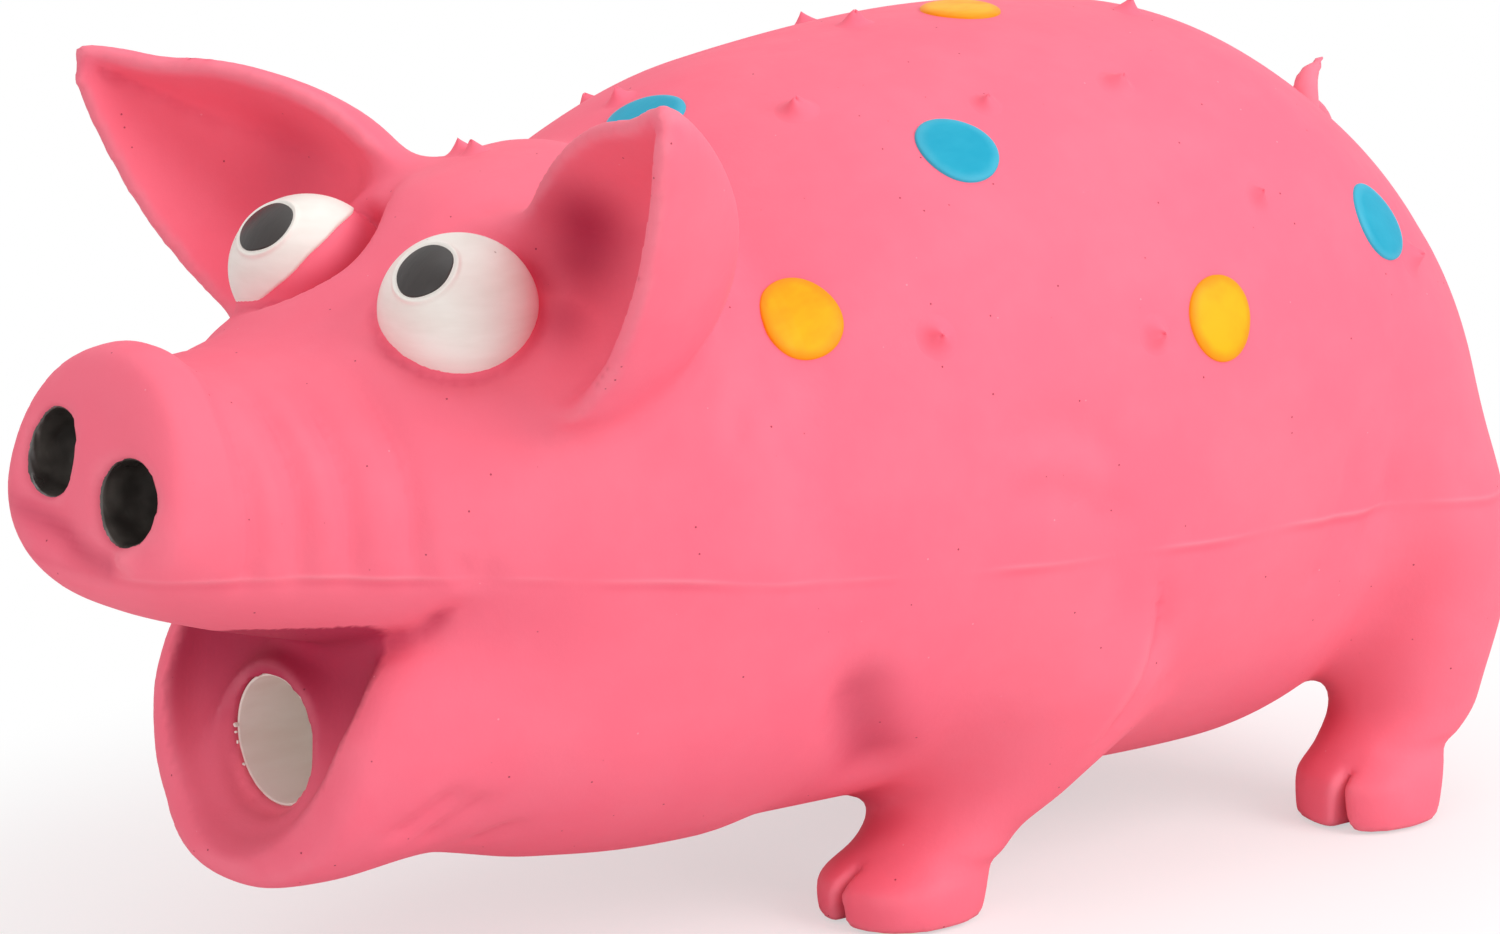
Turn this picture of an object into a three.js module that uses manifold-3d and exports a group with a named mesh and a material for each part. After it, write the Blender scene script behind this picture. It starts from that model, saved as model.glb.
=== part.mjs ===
// Latex dog toy in the shape of a pig, with a grunting sounder held in its throat.
// Millimetres, +Z up. The snout points to -X, the pig's left side to -Y, and the soles stand at z = 0.
import * as THREE from 'three';
import { mergeVertices } from 'three/addons/utils/BufferGeometryUtils.js';
import Module from 'manifold-3d';

const wasm = await Module();
wasm.setup();

// Sizes that all pieces share.
const toyLength = 233;
const wall = 2;
const seat = 0.3;
const overrun = 4;
const nose = -toyLength / 2;

// How far behind the nose the forms begin, and the face's features lie.
const inset = {
  torso: 53,
  head: 2.3,
  jaw: 22.5,
  dish: 20.5,
  throat: 33.1,
  ears: 116.5,
  earPivot: 54.5,
  eyes: 51,
  nostrils: 7.1,
};

// Columns of a body table: place along the form, low edge, high edge, breadth, level of the widest
// line, roundness above it, roundness below it, and how far a slice leans back with its height.
// The sway is how far the front end is swung to the left.
const torso = {
  front: nose + inset.torso,
  length: toyLength - inset.torso,
  height: 120,
  width: 104,
  sway: 0,
  rowShares: [
    [0, 0.504, 0.504, 0, 0.504, 1, 1, 0],
    [0.017, 0.286, 0.706, 0.54, 0.504, 1, 1, 0],
    [0.083, 0.15, 0.815, 0.72, 0.504, 1, 1, 0],
    [0.183, 0.117, 0.886, 0.875, 0.521, 0.97, 0.97, 0],
    [0.35, 0.129, 0.977, 0.98, 0.538, 0.96, 0.96, 0],
    [0.544, 0.101, 1, 1, 0.555, 0.96, 0.92, 0],
    [0.711, 0.09, 0.979, 0.96, 0.563, 0.96, 0.9, 0],
    [0.85, 0.13, 0.876, 0.83, 0.563, 0.98, 0.9, 0],
    [0.942, 0.28, 0.715, 0.58, 0.54, 1, 1, 0],
    [1, 0.53, 0.53, 0, 0.53, 1, 1, 0],
  ],
};

const head = {
  front: nose + inset.head,
  length: 97.5,
  height: 110,
  width: 90,
  sway: 1.2,
  rowShares: [
    [0, 0.69, 0.69, 0, 0.69, 1, 1, 0],
    [0.002, 0.595, 0.78, 0.29, 0.685, 1, 1, 0.25],
    [0.031, 0.56, 0.84, 0.42, 0.675, 0.95, 0.95, 0.22],
    [0.087, 0.53, 0.845, 0.445, 0.664, 0.95, 0.9, 0.15],
    [0.169, 0.499, 0.832, 0.478, 0.645, 0.95, 0.9, 0.05],
    [0.292, 0.467, 0.845, 0.578, 0.627, 0.95, 0.92, 0],
    [0.446, 0.435, 0.9, 0.733, 0.6, 0.97, 0.95, 0],
    [0.61, 0.364, 0.973, 0.889, 0.582, 1, 0.97, 0],
    [0.815, 0.327, 1, 1, 0.573, 1, 1, 0],
    [1, 0.573, 0.573, 0, 0.573, 1, 1, 0],
  ],
};

const jaw = {
  front: nose + inset.jaw,
  length: 88,
  height: 66,
  width: 80,
  sway: 0,
  rowShares: [
    [0, 0.606, 0.606, 0, 0.606, 1, 1, 0],
    [0.006, 0.39, 0.758, 0.32, 0.606, 1, 0.9, 0],
    [0.046, 0.255, 0.848, 0.51, 0.606, 1, 0.85, 0],
    [0.138, 0.245, 0.909, 0.64, 0.636, 0.97, 0.9, 0],
    [0.3, 0.28, 0.97, 0.79, 0.667, 0.97, 0.97, 0],
    [0.506, 0.232, 1, 0.95, 0.697, 0.97, 0.97, 0],
    [0.77, 0.225, 1, 1, 0.697, 1, 1, 0],
    [1, 0.7, 0.7, 0, 0.7, 1, 1, 0],
  ],
};

// The gape is the side outline of the open mouth; its points are shares of the jaw's length and height.
const gape = {
  outlineShares: [
    [-0.44, 0.356],
    [0.075, 0.356],
    [0.063, 0.47],
    [0.08, 0.606],
    [0.126, 0.727],
    [0.23, 0.88],
    [0.253, 1.02],
    [-0.44, 1.02],
  ],
};

// The dish is the hollow behind the lips, round the throat.
const dish = {
  front: nose + inset.dish,
  length: 13.5,
  height: 52,
  width: 32,
  sway: 0,
  rowShares: [
    [0, 0.7, 0.7, 0, 0.7, 1, 1, 0],
    [0.05, 0.48, 1, 0.97, 0.7, 1, 1, 0],
    [0.6, 0.49, 1, 0.99, 0.7, 1, 1, 0],
    [0.85, 0.52, 0.96, 0.875, 0.7, 1, 1, 0],
    [0.97, 0.58, 0.85, 0.56, 0.7, 1, 1, 0],
    [1, 0.7, 0.7, 0, 0.7, 1, 1, 0],
  ],
};

// The sounder is a plastic tube that lies along the throat.
const sounder = { level: 36, outer: 9, bore: 7.8, length: 34, rimRound: 0.4 };
const throat = { lipRadius: 8.3, lipDepth: 2, proud: 0.4, depth: 14, neckRadius: 24, neckLevel: 46 };
const block = { start: 17, thickness: 5, groove: 4, shallot: 5.6, shallotLength: 14, tip: 1.5 };
const reed = { width: 9, length: 16, root: 1.2, thickness: 0.4, lift: 1.2, steps: 8 };
const slot = { depth: 3.5, floor: 0.1, height: 3.6 };
const wedge = { rearHeight: 2.2, frontHeight: 1.8 };

// Columns of a leg table: height, middle along X, middle across, half length, half breadth, roundness.
// The left front leg strides forward and the right one back, so their middles lean to opposite sides.
const legHeightShare = 0.66667;
const legHeight = torso.height * legHeightShare;
const legReach = 30;
const rumpInset = 28;
const frontRowShares = [
  [-0.006, 0, 0, 0.33, 0.32, 0.88],
  [0, 0, 0, 0.36, 0.35, 0.88],
  [0.06, 0.01, 0, 0.385, 0.37, 0.88],
  [0.11, 0.14, 0.02, 0.35, 0.36, 0.95],
  [0.155, 0.25, 0.03, 0.345, 0.38, 1],
  [0.225, 0.43, 0.07, 0.415, 0.46, 1],
  [0.33, 0.56, 0.13, 0.57, 0.57, 1],
  [0.45, 0.6, 0.2, 0.7, 0.63, 1],
  [0.6, 0.56, 0.23, 0.7, 0.6, 1],
  [0.78, 0.5, 0.2, 0.6, 0.45, 1],
  [0.9, 0.45, 0.2, 0.4, 0.25, 1],
];
const hindRowShares = [
  [-0.006, 0, 0, 0.29, 0.29, 0.88],
  [0, 0, 0, 0.32, 0.32, 0.88],
  [0.075, 0.01, 0, 0.34, 0.34, 0.88],
  [0.13, 0.09, 0, 0.31, 0.32, 0.95],
  [0.22, 0.25, -0.02, 0.34, 0.38, 1],
  [0.4, 0.26, -0.05, 0.46, 0.52, 1],
  [0.6, 0.14, -0.08, 0.53, 0.62, 1],
  [0.82, -0.02, -0.14, 0.51, 0.6, 1],
  [1, -0.12, -0.27, 0.46, 0.36, 1],
];
const leftHoofShare = 0.3861;
const rightHoofShare = 0.6139;
const alongTorso = (share) => torso.front + share * torso.length;
const front = { outset: 24, rowShares: frontRowShares };
const hind = { outset: 32, rowShares: hindRowShares, middle: toyLength / 2 - rumpInset, stride: 1 };
const legs = {
  front_left: { ...front, middle: alongTorso(leftHoofShare), side: -1, stride: 1 },
  front_right: { ...front, middle: alongTorso(rightHoofShare), side: 1, stride: -1 },
  hind_left: { ...hind, side: -1 },
  hind_right: { ...hind, side: 1 },
};
const cleft = { width: 2.2, depth: 5, height: 7 };

// Columns of the ear table: distance from the middle plane, then the upper edge's and the lower edge's
// places along X and up, the depth of the cup in front and the fullness of the back.
const ear = {
  span: 60,
  base: 82,
  rise: 41,
  setback: 68,
  depth: 19.5,
  droop: 0.25,
  pivot: [nose + inset.earPivot, 31, 100],
  shift: 1.8,
  tilt: THREE.MathUtils.degToRad(7),
  turn: THREE.MathUtils.degToRad(7),
  rowShares: [
    [0.2, -0.72, 0.487, -0.794, 0.145, 0, 0.2],
    [0.3, -0.75, 0.61, -0.853, 0.061, 0.15, 0.51],
    [0.433, -0.787, 0.775, -0.897, 0.013, 0.45, 0.82],
    [0.567, -0.831, 0.871, -0.924, 0.025, 0.65, 0.97],
    [0.7, -0.875, 0.925, -0.931, 0.145, 0.7, 1],
    [0.833, -0.919, 0.946, -0.953, 0.355, 0.55, 0.87],
    [0.933, -0.956, 0.982, -0.974, 0.598, 0.3, 0.56],
    [1, -0.982, 1, -0.993, 0.853, 0.03, 0.15],
  ],
};

const eye = { centre: [nose + inset.eyes, 17.4, 96.4], shift: 0.7, radius: 10.2, height: 9.5 };
const pupil = {
  radius: 4,
  thickness: 0.6,
  leftGaze: new THREE.Vector3(-0.735, -0.238, 0.637),
  rightGaze: new THREE.Vector3(-0.719, -0.328, 0.611),
};
const nostril = {
  centre: [nose + inset.nostrils, 8.6, 76.1],
  shift: 1.8,
  drop: 2,
  depth: 8,
  radius: 7.2,
  lining: 1.2,
};
const spot = { radius: 6.2, thickness: 0.8, sink: 9 };
const bump = { radius: 2, height: 2.7, tip: 0.5, root: 2 };
const tail = {
  inset: 11.5,
  levelShare: 0.7917,
  radius: 2.6,
  tipRadius: 0.7,
  curl: 4.6,
  rise: 3.4,
  slope: 0.62,
  tip: [-1, 0.3, 6],
  start: THREE.MathUtils.degToRad(-80),
  sweep: THREE.MathUtils.degToRad(440),
};

// Marks on the skin: share of the way along the form's table, and angle up from the right side.
const blueMarks = [[0.378, 88], [0.476, 126], [0.722, 150], [0.47, 30], [0.61, 58], [0.77, 28]];
const yellowMarks = [[0.56, 92], [0.36, 144], [0.578, 162], [0.38, 36], [0.65, 24]];
const bumpMarks = [
  [0.362, 117], [0.426, 108], [0.51, 86], [0.506, 114], [0.586, 120], [0.668, 96], [0.424, 156],
  [0.538, 146], [0.632, 144], [0.764, 158], [0.46, 58], [0.54, 24], [0.6, 36], [0.7, 62],
];
const headBumpMarks = [[0.854, 77], [0.842, 97]];

const pink = new THREE.MeshStandardMaterial({ color: 0xf2708a, roughness: 0.72, metalness: 0 });
const eyeWhite = new THREE.MeshStandardMaterial({ color: 0xeee4da, roughness: 0.4, metalness: 0 });
const black = new THREE.MeshStandardMaterial({ color: 0x28242a, roughness: 0.3, metalness: 0 });
const blue = new THREE.MeshStandardMaterial({ color: 0x28afd2, roughness: 0.45, metalness: 0 });
const yellow = new THREE.MeshStandardMaterial({ color: 0xffb900, roughness: 0.45, metalness: 0 });
const whitePlastic = new THREE.MeshStandardMaterial({ color: 0xe8e0dc, roughness: 0.35, metalness: 0 });
const reedFilm = new THREE.MeshStandardMaterial({ color: 0xd8d2c0, roughness: 0.3, metalness: 0 });

// Slope at the end of a row of values: the end step, eased by the next one.
function endSlope(step, next) {
  const slope = (3 * step - next) / 2;
  if (slope * step <= 0) return 0;
  return step * next <= 0 && Math.abs(slope) > Math.abs(3 * step) ? 3 * step : slope;
}

// Cubic through evenly spaced values that never overshoots them.
function smoothColumn(values) {
  const steps = values.slice(1).map((value, i) => value - values[i]);
  const inner = steps.slice(1).map((step, i) => {
    const last = steps[i];
    return step * last > 0 ? (2 * step * last) / (step + last) : 0;
  });
  const slopes = [endSlope(steps[0], steps[1]), ...inner, endSlope(steps.at(-1), steps.at(-2))];
  return (share) => {
    const place = Math.min(Math.max(share, 0), 1) * steps.length;
    const i = Math.min(Math.floor(place), steps.length - 1);
    const u = place - i;
    const rise = u * u * (3 - 2 * u);
    const from = u * (1 - u) * (1 - u) * slopes[i];
    const to = u * u * (u - 1) * slopes[i + 1];
    return values[i] + steps[i] * rise + from + to;
  };
}

function smoothColumns(rows) {
  return rows[0].map((_, k) => smoothColumn(rows.map((row) => row[k])));
}

function signedPower(value, power) {
  return Math.sign(value) * Math.abs(value) ** power;
}

// Point of a body form: superellipse slices whose edges follow the table's columns.
function bodySurface(form) {
  const columns = smoothColumns(form.rowShares);
  return (share, angle) => {
    const [along, low, high, breadth, level, above, below, lean] = columns.map((column) => column(share));
    const upper = Math.sin(angle) > 0;
    const power = upper ? above : below;
    const reach = (upper ? high - level : level - low) * form.height;
    const rise = reach * signedPower(Math.sin(angle), power);
    const half = (breadth * form.width / 2) * signedPower(Math.cos(angle), power);
    const x = form.front + along * form.length + lean * rise;
    return new THREE.Vector3(x, half - form.sway * (1 - share), level * form.height + rise);
  };
}

// Point of a leg form: superellipse slices stacked up, set out to one side.
function legSurface(leg) {
  const columns = smoothColumns(leg.rowShares);
  return (share, angle) => {
    const [up, along, out, halfLength, halfBreadth, power] = columns.map((column) => column(share));
    const forward = leg.stride * along + halfLength * signedPower(Math.cos(angle), power);
    const outward = out + halfBreadth * signedPower(Math.sin(angle), power);
    const y = leg.side * (leg.outset + legReach * outward);
    return new THREE.Vector3(leg.middle + legReach * forward, y, up * legHeight);
  };
}

// Shares that lie closer together near both ends, where a form rounds off.
function easedShares(count) {
  return Array.from({ length: count }, (_, i) => {
    const u = (i + 1) / (count + 1);
    return u - 0.11 * Math.sin(2 * Math.PI * u);
  });
}

function flipped(geometry) {
  const index = geometry.index.array;
  for (let i = 0; i < index.length; i += 3) {
    [index[i], index[i + 1]] = [index[i + 1], index[i]];
  }
  return geometry;
}

function signedVolume(geometry) {
  const { position } = geometry.attributes;
  const at = (i) => new THREE.Vector3().fromBufferAttribute(position, geometry.index.array[i]);
  let volume = 0;
  for (let i = 0; i < geometry.index.count; i += 3) {
    volume += at(i).dot(at(i + 1).cross(at(i + 2))) / 6;
  }
  return volume;
}

function indexedGeometry(points, index) {
  const geometry = new THREE.BufferGeometry();
  const numbers = points.flatMap((point) => point.toArray());
  geometry.setAttribute('position', new THREE.Float32BufferAttribute(numbers, 3));
  geometry.setIndex(index);
  return signedVolume(geometry) < 0 ? flipped(geometry) : geometry;
}

// Closed skin over rings of points, drawn together to a point at both ends.
function closedSkin(rings, firstPole, lastPole) {
  const sides = rings[0].length;
  const last = rings.length * sides + 1;
  const index = [];
  for (let j = 0; j < sides; j += 1) {
    const k = (j + 1) % sides;
    index.push(0, 1 + k, 1 + j, last, last - sides + j, last - sides + k);
    for (let i = 0; i < rings.length - 1; i += 1) {
      const a = 1 + i * sides;
      index.push(a + j, a + k, a + sides + k, a + j, a + sides + k, a + sides + j);
    }
  }
  return indexedGeometry([firstPole, ...rings.flat(), lastPole], index);
}

function surfaceSkin(surface, ringCount, sides) {
  const angles = Array.from({ length: sides }, (_, j) => ((j + 0.5) / sides) * 2 * Math.PI);
  const rings = easedShares(ringCount).map((share) => angles.map((angle) => surface(share, angle)));
  return closedSkin(rings, surface(0, 0), surface(1, 0));
}

// Skin whose points are moved out along their normals, or in where the distance is negative.
function offsetSkin(geometry, distance) {
  const copy = geometry.clone();
  copy.computeVertexNormals();
  const { position, normal } = copy.attributes;
  const points = Array.from({ length: position.count }, (_, i) =>
    new THREE.Vector3()
      .fromBufferAttribute(position, i)
      .addScaledVector(new THREE.Vector3().fromBufferAttribute(normal, i), distance));
  return indexedGeometry(points, Array.from(copy.index.array));
}

function mergedGeometry(geometry) {
  const copy = geometry.clone();
  copy.deleteAttribute('normal');
  copy.deleteAttribute('uv');
  return mergeVertices(copy);
}

function solidOf(geometry, matrix = new THREE.Matrix4()) {
  const merged = mergedGeometry(geometry).applyMatrix4(matrix);
  if (matrix.determinant() < 0) flipped(merged);
  return new wasm.Manifold(new wasm.Mesh({
    numProp: 3,
    vertProperties: new Float32Array(merged.attributes.position.array),
    triVerts: new Uint32Array(merged.index.array),
  }));
}

function geometryOf(solid) {
  const mesh = solid.getMesh();
  const geometry = new THREE.BufferGeometry();
  const numbers = Array.from(mesh.vertProperties);
  geometry.setAttribute('position', new THREE.Float32BufferAttribute(numbers, 3));
  geometry.setIndex(Array.from(mesh.triVerts));
  return geometry;
}

const mirror = new THREE.Matrix4().makeScale(1, -1, 1);
const toy = new THREE.Group();

function addPiece(name, geometry, material, parent = toy) {
  const mesh = new THREE.Mesh(geometry, material);
  mesh.name = name;
  parent.add(mesh);
}

// Frame that stands on a surface: its Y axis points out of the surface there.
function standingMatrix(surface, share, degrees, middleShare = 0.5) {
  const angle = THREE.MathUtils.degToRad(degrees);
  const reach = 0.004;
  const point = surface(share, angle);
  const along = surface(share + reach, angle).sub(surface(share - reach, angle));
  const around = surface(share, angle + reach).sub(surface(share, angle - reach));
  const normal = around.cross(along).normalize();
  const inside = surface(middleShare, angle).add(surface(middleShare, angle + Math.PI)).multiplyScalar(0.5);
  if (normal.dot(point.clone().sub(inside)) < 0) normal.negate();
  return matrixAlong(point, normal);
}

function matrixAlong(point, direction) {
  const turn = new THREE.Quaternion().setFromUnitVectors(new THREE.Vector3(0, 1, 0), direction);
  return new THREE.Matrix4().compose(point, turn, new THREE.Vector3(1, 1, 1));
}

const torsoSurface = bodySurface(torso);
const headSurface = bodySurface(head);
const jawSurface = bodySurface(jaw);
const torsoSkin = surfaceSkin(torsoSurface, 22, 30);
const headSkin = surfaceSkin(headSurface, 20, 26);
const jawSkin = surfaceSkin(jawSurface, 14, 22);
const torsoSeat = solidOf(offsetSkin(torsoSkin, seat));
const headSeat = solidOf(offsetSkin(headSkin, seat)).add(solidOf(offsetSkin(jawSkin, seat)));

const sounderPlace = new THREE.Group();
sounderPlace.position.set(nose + inset.throat, 0, sounder.level);
sounderPlace.updateMatrix();
toy.add(sounderPlace);

// Cylinder along the sounder's axis, from one distance behind the throat's lip to another.
function throatCylinder(radius, from, to) {
  const cylinder = new THREE.CylinderGeometry(radius, radius, to - from, 24);
  cylinder.rotateZ(Math.PI / 2);
  cylinder.translate((from + to) / 2, 0, 0);
  return solidOf(cylinder, sounderPlace.matrix);
}

// Small pointed pimple that stands on the skin.
function bumpSolid(surface, [share, degrees]) {
  const profile = [
    [0, -bump.root],
    [bump.radius, -bump.root],
    [bump.radius, 0],
    [bump.radius / 2, bump.height / 3],
    [bump.tip, bump.height - bump.tip],
    [0, bump.height],
  ].map(([radius, height]) => new THREE.Vector2(radius, height));
  return solidOf(new THREE.LatheGeometry(profile, 6), standingMatrix(surface, share, degrees));
}

function torsoSolid() {
  const hollow = solidOf(offsetSkin(surfaceSkin(torsoSurface, 12, 18), -wall));
  const neck = new THREE.CylinderGeometry(throat.neckRadius, throat.neckRadius, torso.length / 4, 20);
  neck.rotateZ(Math.PI / 2);
  neck.translate(torso.front + torso.length / 8 - overrun, 0, throat.neckLevel);
  const shell = solidOf(torsoSkin).subtract(hollow).subtract(solidOf(neck));
  return bumpMarks.reduce((body, mark) => body.add(bumpSolid(torsoSurface, mark)), shell);
}

function gapeSolid(shift) {
  const at = ([along, up]) => [jaw.front + along * jaw.length + shift, up * jaw.height - shift];
  const outline = new THREE.Shape(gape.outlineShares.map((share) => new THREE.Vector2(...at(share))));
  const prism = new THREE.ExtrudeGeometry(outline, { depth: jaw.width + overrun, bevelEnabled: false });
  prism.translate(0, 0, -(jaw.width + overrun) / 2);
  prism.rotateX(Math.PI / 2);
  return solidOf(prism);
}

// Round pocket of one nostril; the left one sits a little lower.
function nostrilSkin(side, shrink) {
  const ball = new THREE.SphereGeometry(1, 16, 10);
  ball.scale(nostril.depth - shrink, nostril.radius - shrink, nostril.radius - shrink);
  const [x, y, z] = nostril.centre;
  ball.translate(x, side * y - nostril.shift, z + side * nostril.drop);
  return ball;
}

function headSolid() {
  const dishSkin = surfaceSkin(bodySurface(dish), 9, 20);
  const mouth = gapeSolid(0).add(solidOf(dishSkin));
  const mouthWall = gapeSolid(wall).add(solidOf(offsetSkin(dishSkin, wall)));
  const jawBody = solidOf(jawSkin).subtract(mouth);
  const jawHollow = solidOf(offsetSkin(surfaceSkin(jawSurface, 9, 16), -wall)).subtract(mouthWall);
  const headHollow = solidOf(offsetSkin(surfaceSkin(headSurface, 11, 18), -wall));
  const pocketWalls = [-1, 1].map((side) => solidOf(nostrilSkin(side, -wall)));
  const pockets = [-1, 1].map((side) => solidOf(nostrilSkin(side, 0)));
  const hollow = pocketWalls.reduce((space, pocket) => space.subtract(pocket), headHollow.add(jawHollow));
  const sleeve = throatCylinder(sounder.outer + seat + wall, -throat.proud, throat.depth);
  const lipHole = throatCylinder(throat.lipRadius, -overrun, throat.lipDepth + seat);
  const tubeHole = throatCylinder(sounder.outer + seat, throat.lipDepth, sounder.length + overrun);
  const shell = solidOf(headSkin).add(jawBody).subtract(hollow).add(sleeve);
  const bumpy = headBumpMarks.reduce((body, mark) => body.add(bumpSolid(headSurface, mark)), shell);
  const open = pockets.reduce((body, pocket) => body.subtract(pocket), bumpy);
  return open.subtract(lipHole).subtract(tubeHole).subtract(torsoSeat);
}

// A leg ends in a cloven hoof; its sole is cut flat and its top is open to the hollow body.
function legSolid(leg) {
  const surface = legSurface(leg);
  const outer = surfaceSkin(surface, 15, 18);
  const inner = offsetSkin(surfaceSkin(surface, 9, 12), -wall);
  const ground = new THREE.BoxGeometry(toyLength, toyLength, overrun);
  ground.translate(0, 0, -overrun / 2);
  const sole = new THREE.BoxGeometry(toyLength, toyLength, 2 * wall);
  const notch = new THREE.CylinderGeometry(cleft.width / 2, cleft.width / 2, 2 * cleft.height, 3);
  notch.rotateX(Math.PI / 2);
  notch.scale(2 * cleft.depth / cleft.width, 1, 1);
  const front = surface(0.12, Math.PI);
  notch.translate(front.x, front.y, 0);
  return solidOf(outer)
    .subtract(solidOf(inner).subtract(solidOf(sole)))
    .subtract(solidOf(ground))
    .subtract(solidOf(notch))
    .subtract(torsoSeat);
}

// The left ear, a cupped leaf: rings across it join the hollow front to the full back.
function earSkin() {
  const columns = smoothColumns(ear.rowShares);
  const across = Array.from({ length: 9 }, (_, i) => i / 4 - 1);
  const deepest = 0.35;
  const bowl = (v) => 1 - ((v - deepest) / (v < deepest ? 1 + deepest : 1 - deepest)) ** 2;
  const ring = (share) => {
    const [out, upX, upZ, lowX, lowZ, front, back] = columns.map((column) => column(share));
    const between = (low, high, v) => (high + low) / 2 + ((high - low) / 2) * v;
    const point = (v, push) => new THREE.Vector3(
      nose + inset.ears + ear.setback * between(lowX, upX, v) + ear.depth * push,
      -ear.span * out,
      ear.base + ear.rise * between(lowZ, upZ, v) - ear.droop * ear.depth * push,
    );
    const inner = across.map((v) => point(v, front * bowl(v)));
    const outer = across.slice(1, -1).reverse().map((v) => point(v, back * Math.sqrt(1 - v * v)));
    return [...inner, ...outer];
  };
  const rings = Array.from({ length: 15 }, (_, i) => ring(i / 14));
  const middle = (points) => {
    const sum = points.reduce((total, point) => total.add(point), new THREE.Vector3());
    return sum.divideScalar(points.length);
  };
  return closedSkin(rings, middle(rings[0]), middle(rings.at(-1)));
}

// Each ear is tilted about a point near its middle: the left one's tip up, the right one's down.
function earSolid(side) {
  const pivot = new THREE.Vector3(...ear.pivot).multiply(new THREE.Vector3(1, side, 1));
  const place = new THREE.Matrix4().makeTranslation(pivot.x, pivot.y - ear.shift, pivot.z)
    .multiply(new THREE.Matrix4().makeRotationZ(ear.turn))
    .multiply(new THREE.Matrix4().makeRotationX(-ear.tilt))
    .multiply(new THREE.Matrix4().makeTranslation(pivot.clone().negate()));
  if (side > 0) place.multiply(mirror);
  const eyeSeat = solidOf(eyeSkin(side, seat));
  return solidOf(earSkin(), place).subtract(headSeat).subtract(torsoSeat).subtract(eyeSeat);
}

// Tube that tapers along a curve, rounded off at both ends.
function taperedTube(curve, radiusAt, steps, sides) {
  const frames = curve.computeFrenetFrames(steps, false);
  const rings = Array.from({ length: steps + 1 }, (_, i) => {
    const centre = curve.getPointAt(i / steps);
    return Array.from({ length: sides }, (__, j) => {
      const angle = (j / sides) * 2 * Math.PI;
      return centre.clone()
        .addScaledVector(frames.normals[i], radiusAt(i / steps) * Math.cos(angle))
        .addScaledVector(frames.binormals[i], radiusAt(i / steps) * Math.sin(angle));
    });
  });
  return closedSkin(rings, curve.getPointAt(0), curve.getPointAt(1));
}

// The tail makes one loop on the rump and ends in a point that stands up.
function tailSolid() {
  const root = new THREE.Vector3(toyLength / 2 - tail.inset, 0, tail.levelShare * torso.height);
  const turns = Array.from({ length: 12 }, (_, i) => i / 11);
  const loop = turns.map((u) => {
    const angle = tail.start + u * tail.sweep;
    const up = tail.curl * Math.sin(angle);
    return new THREE.Vector3(u * tail.rise - tail.slope * up, tail.curl * Math.cos(angle), up).add(root);
  });
  const tip = loop.at(-1).clone().add(new THREE.Vector3(...tail.tip));
  const inside = root.clone().setX(root.x - 2 * tail.curl);
  const curve = new THREE.CatmullRomCurve3([inside, ...loop, tip]);
  const radiusAt = (u) => tail.tipRadius + (tail.radius - tail.tipRadius) * (1 - u ** 4);
  return solidOf(taperedTube(curve, radiusAt, 26, 7)).subtract(torsoSeat);
}

function eyeSkin(side, growth) {
  const ball = new THREE.SphereGeometry(1, 18, 12);
  ball.scale(eye.radius + growth, eye.radius + growth, eye.height + growth);
  const [x, y, z] = eye.centre;
  ball.translate(x, side * y - eye.shift, z);
  return ball;
}

// Raised paint: the band between two offsets of a surface, cut out by a cylinder that stands on it.
function paintSolid(inside, outside, radius, reach, matrix) {
  const cutter = new THREE.CylinderGeometry(radius, radius, 2 * reach, 16);
  return outside.subtract(inside).intersect(solidOf(cutter, matrix));
}

function addFace() {
  const faceSides = [['left', -1, pupil.leftGaze], ['right', 1, pupil.rightGaze]];
  faceSides.forEach(([name, side, gaze]) => {
    const socket = headSeat.add(torsoSeat);
    const dome = solidOf(eyeSkin(side, 0)).subtract(solidOf(eyeSkin(side, -wall)));
    addPiece(`eye_${name}`, geometryOf(dome.subtract(socket)), eyeWhite);
    const direction = gaze.clone().normalize();
    const [x, y, z] = eye.centre;
    const centre = new THREE.Vector3(x, side * y - eye.shift, z);
    const place = matrixAlong(centre.addScaledVector(direction, eye.radius), direction);
    const under = solidOf(eyeSkin(side, seat));
    const over = solidOf(eyeSkin(side, seat + pupil.thickness));
    const disc = paintSolid(under, over, pupil.radius, pupil.radius, place);
    addPiece(`pupil_${name}`, geometryOf(disc), black);
    const liningOuter = solidOf(nostrilSkin(side, seat));
    const liningInner = solidOf(nostrilSkin(side, seat + nostril.lining));
    const snout = solidOf(offsetSkin(headSkin, -seat));
    addPiece(`nostril_${name}`, geometryOf(liningOuter.subtract(liningInner).intersect(snout)), black);
  });
}

function addLimbs() {
  Object.entries(legs).forEach(([name, leg]) => {
    addPiece(`leg_${name}`, geometryOf(legSolid(leg)), pink);
  });
  addPiece('ear_left', geometryOf(earSolid(-1)), pink);
  addPiece('ear_right', geometryOf(earSolid(1)), pink);
}

function addSpots() {
  const under = solidOf(offsetSkin(torsoSkin, seat));
  const over = solidOf(offsetSkin(torsoSkin, seat + spot.thickness));
  const colours = { blue: [blueMarks, blue], yellow: [yellowMarks, yellow] };
  Object.entries(colours).forEach(([name, [marks, material]]) => {
    marks.forEach(([share, degrees], i) => {
      const place = standingMatrix(torsoSurface, share, degrees);
      const dot = paintSolid(under, over, spot.radius, spot.sink, place).subtract(headSeat);
      addPiece(`spot_${name}_${i + 1}`, geometryOf(dot), material);
    });
  });
}

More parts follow.
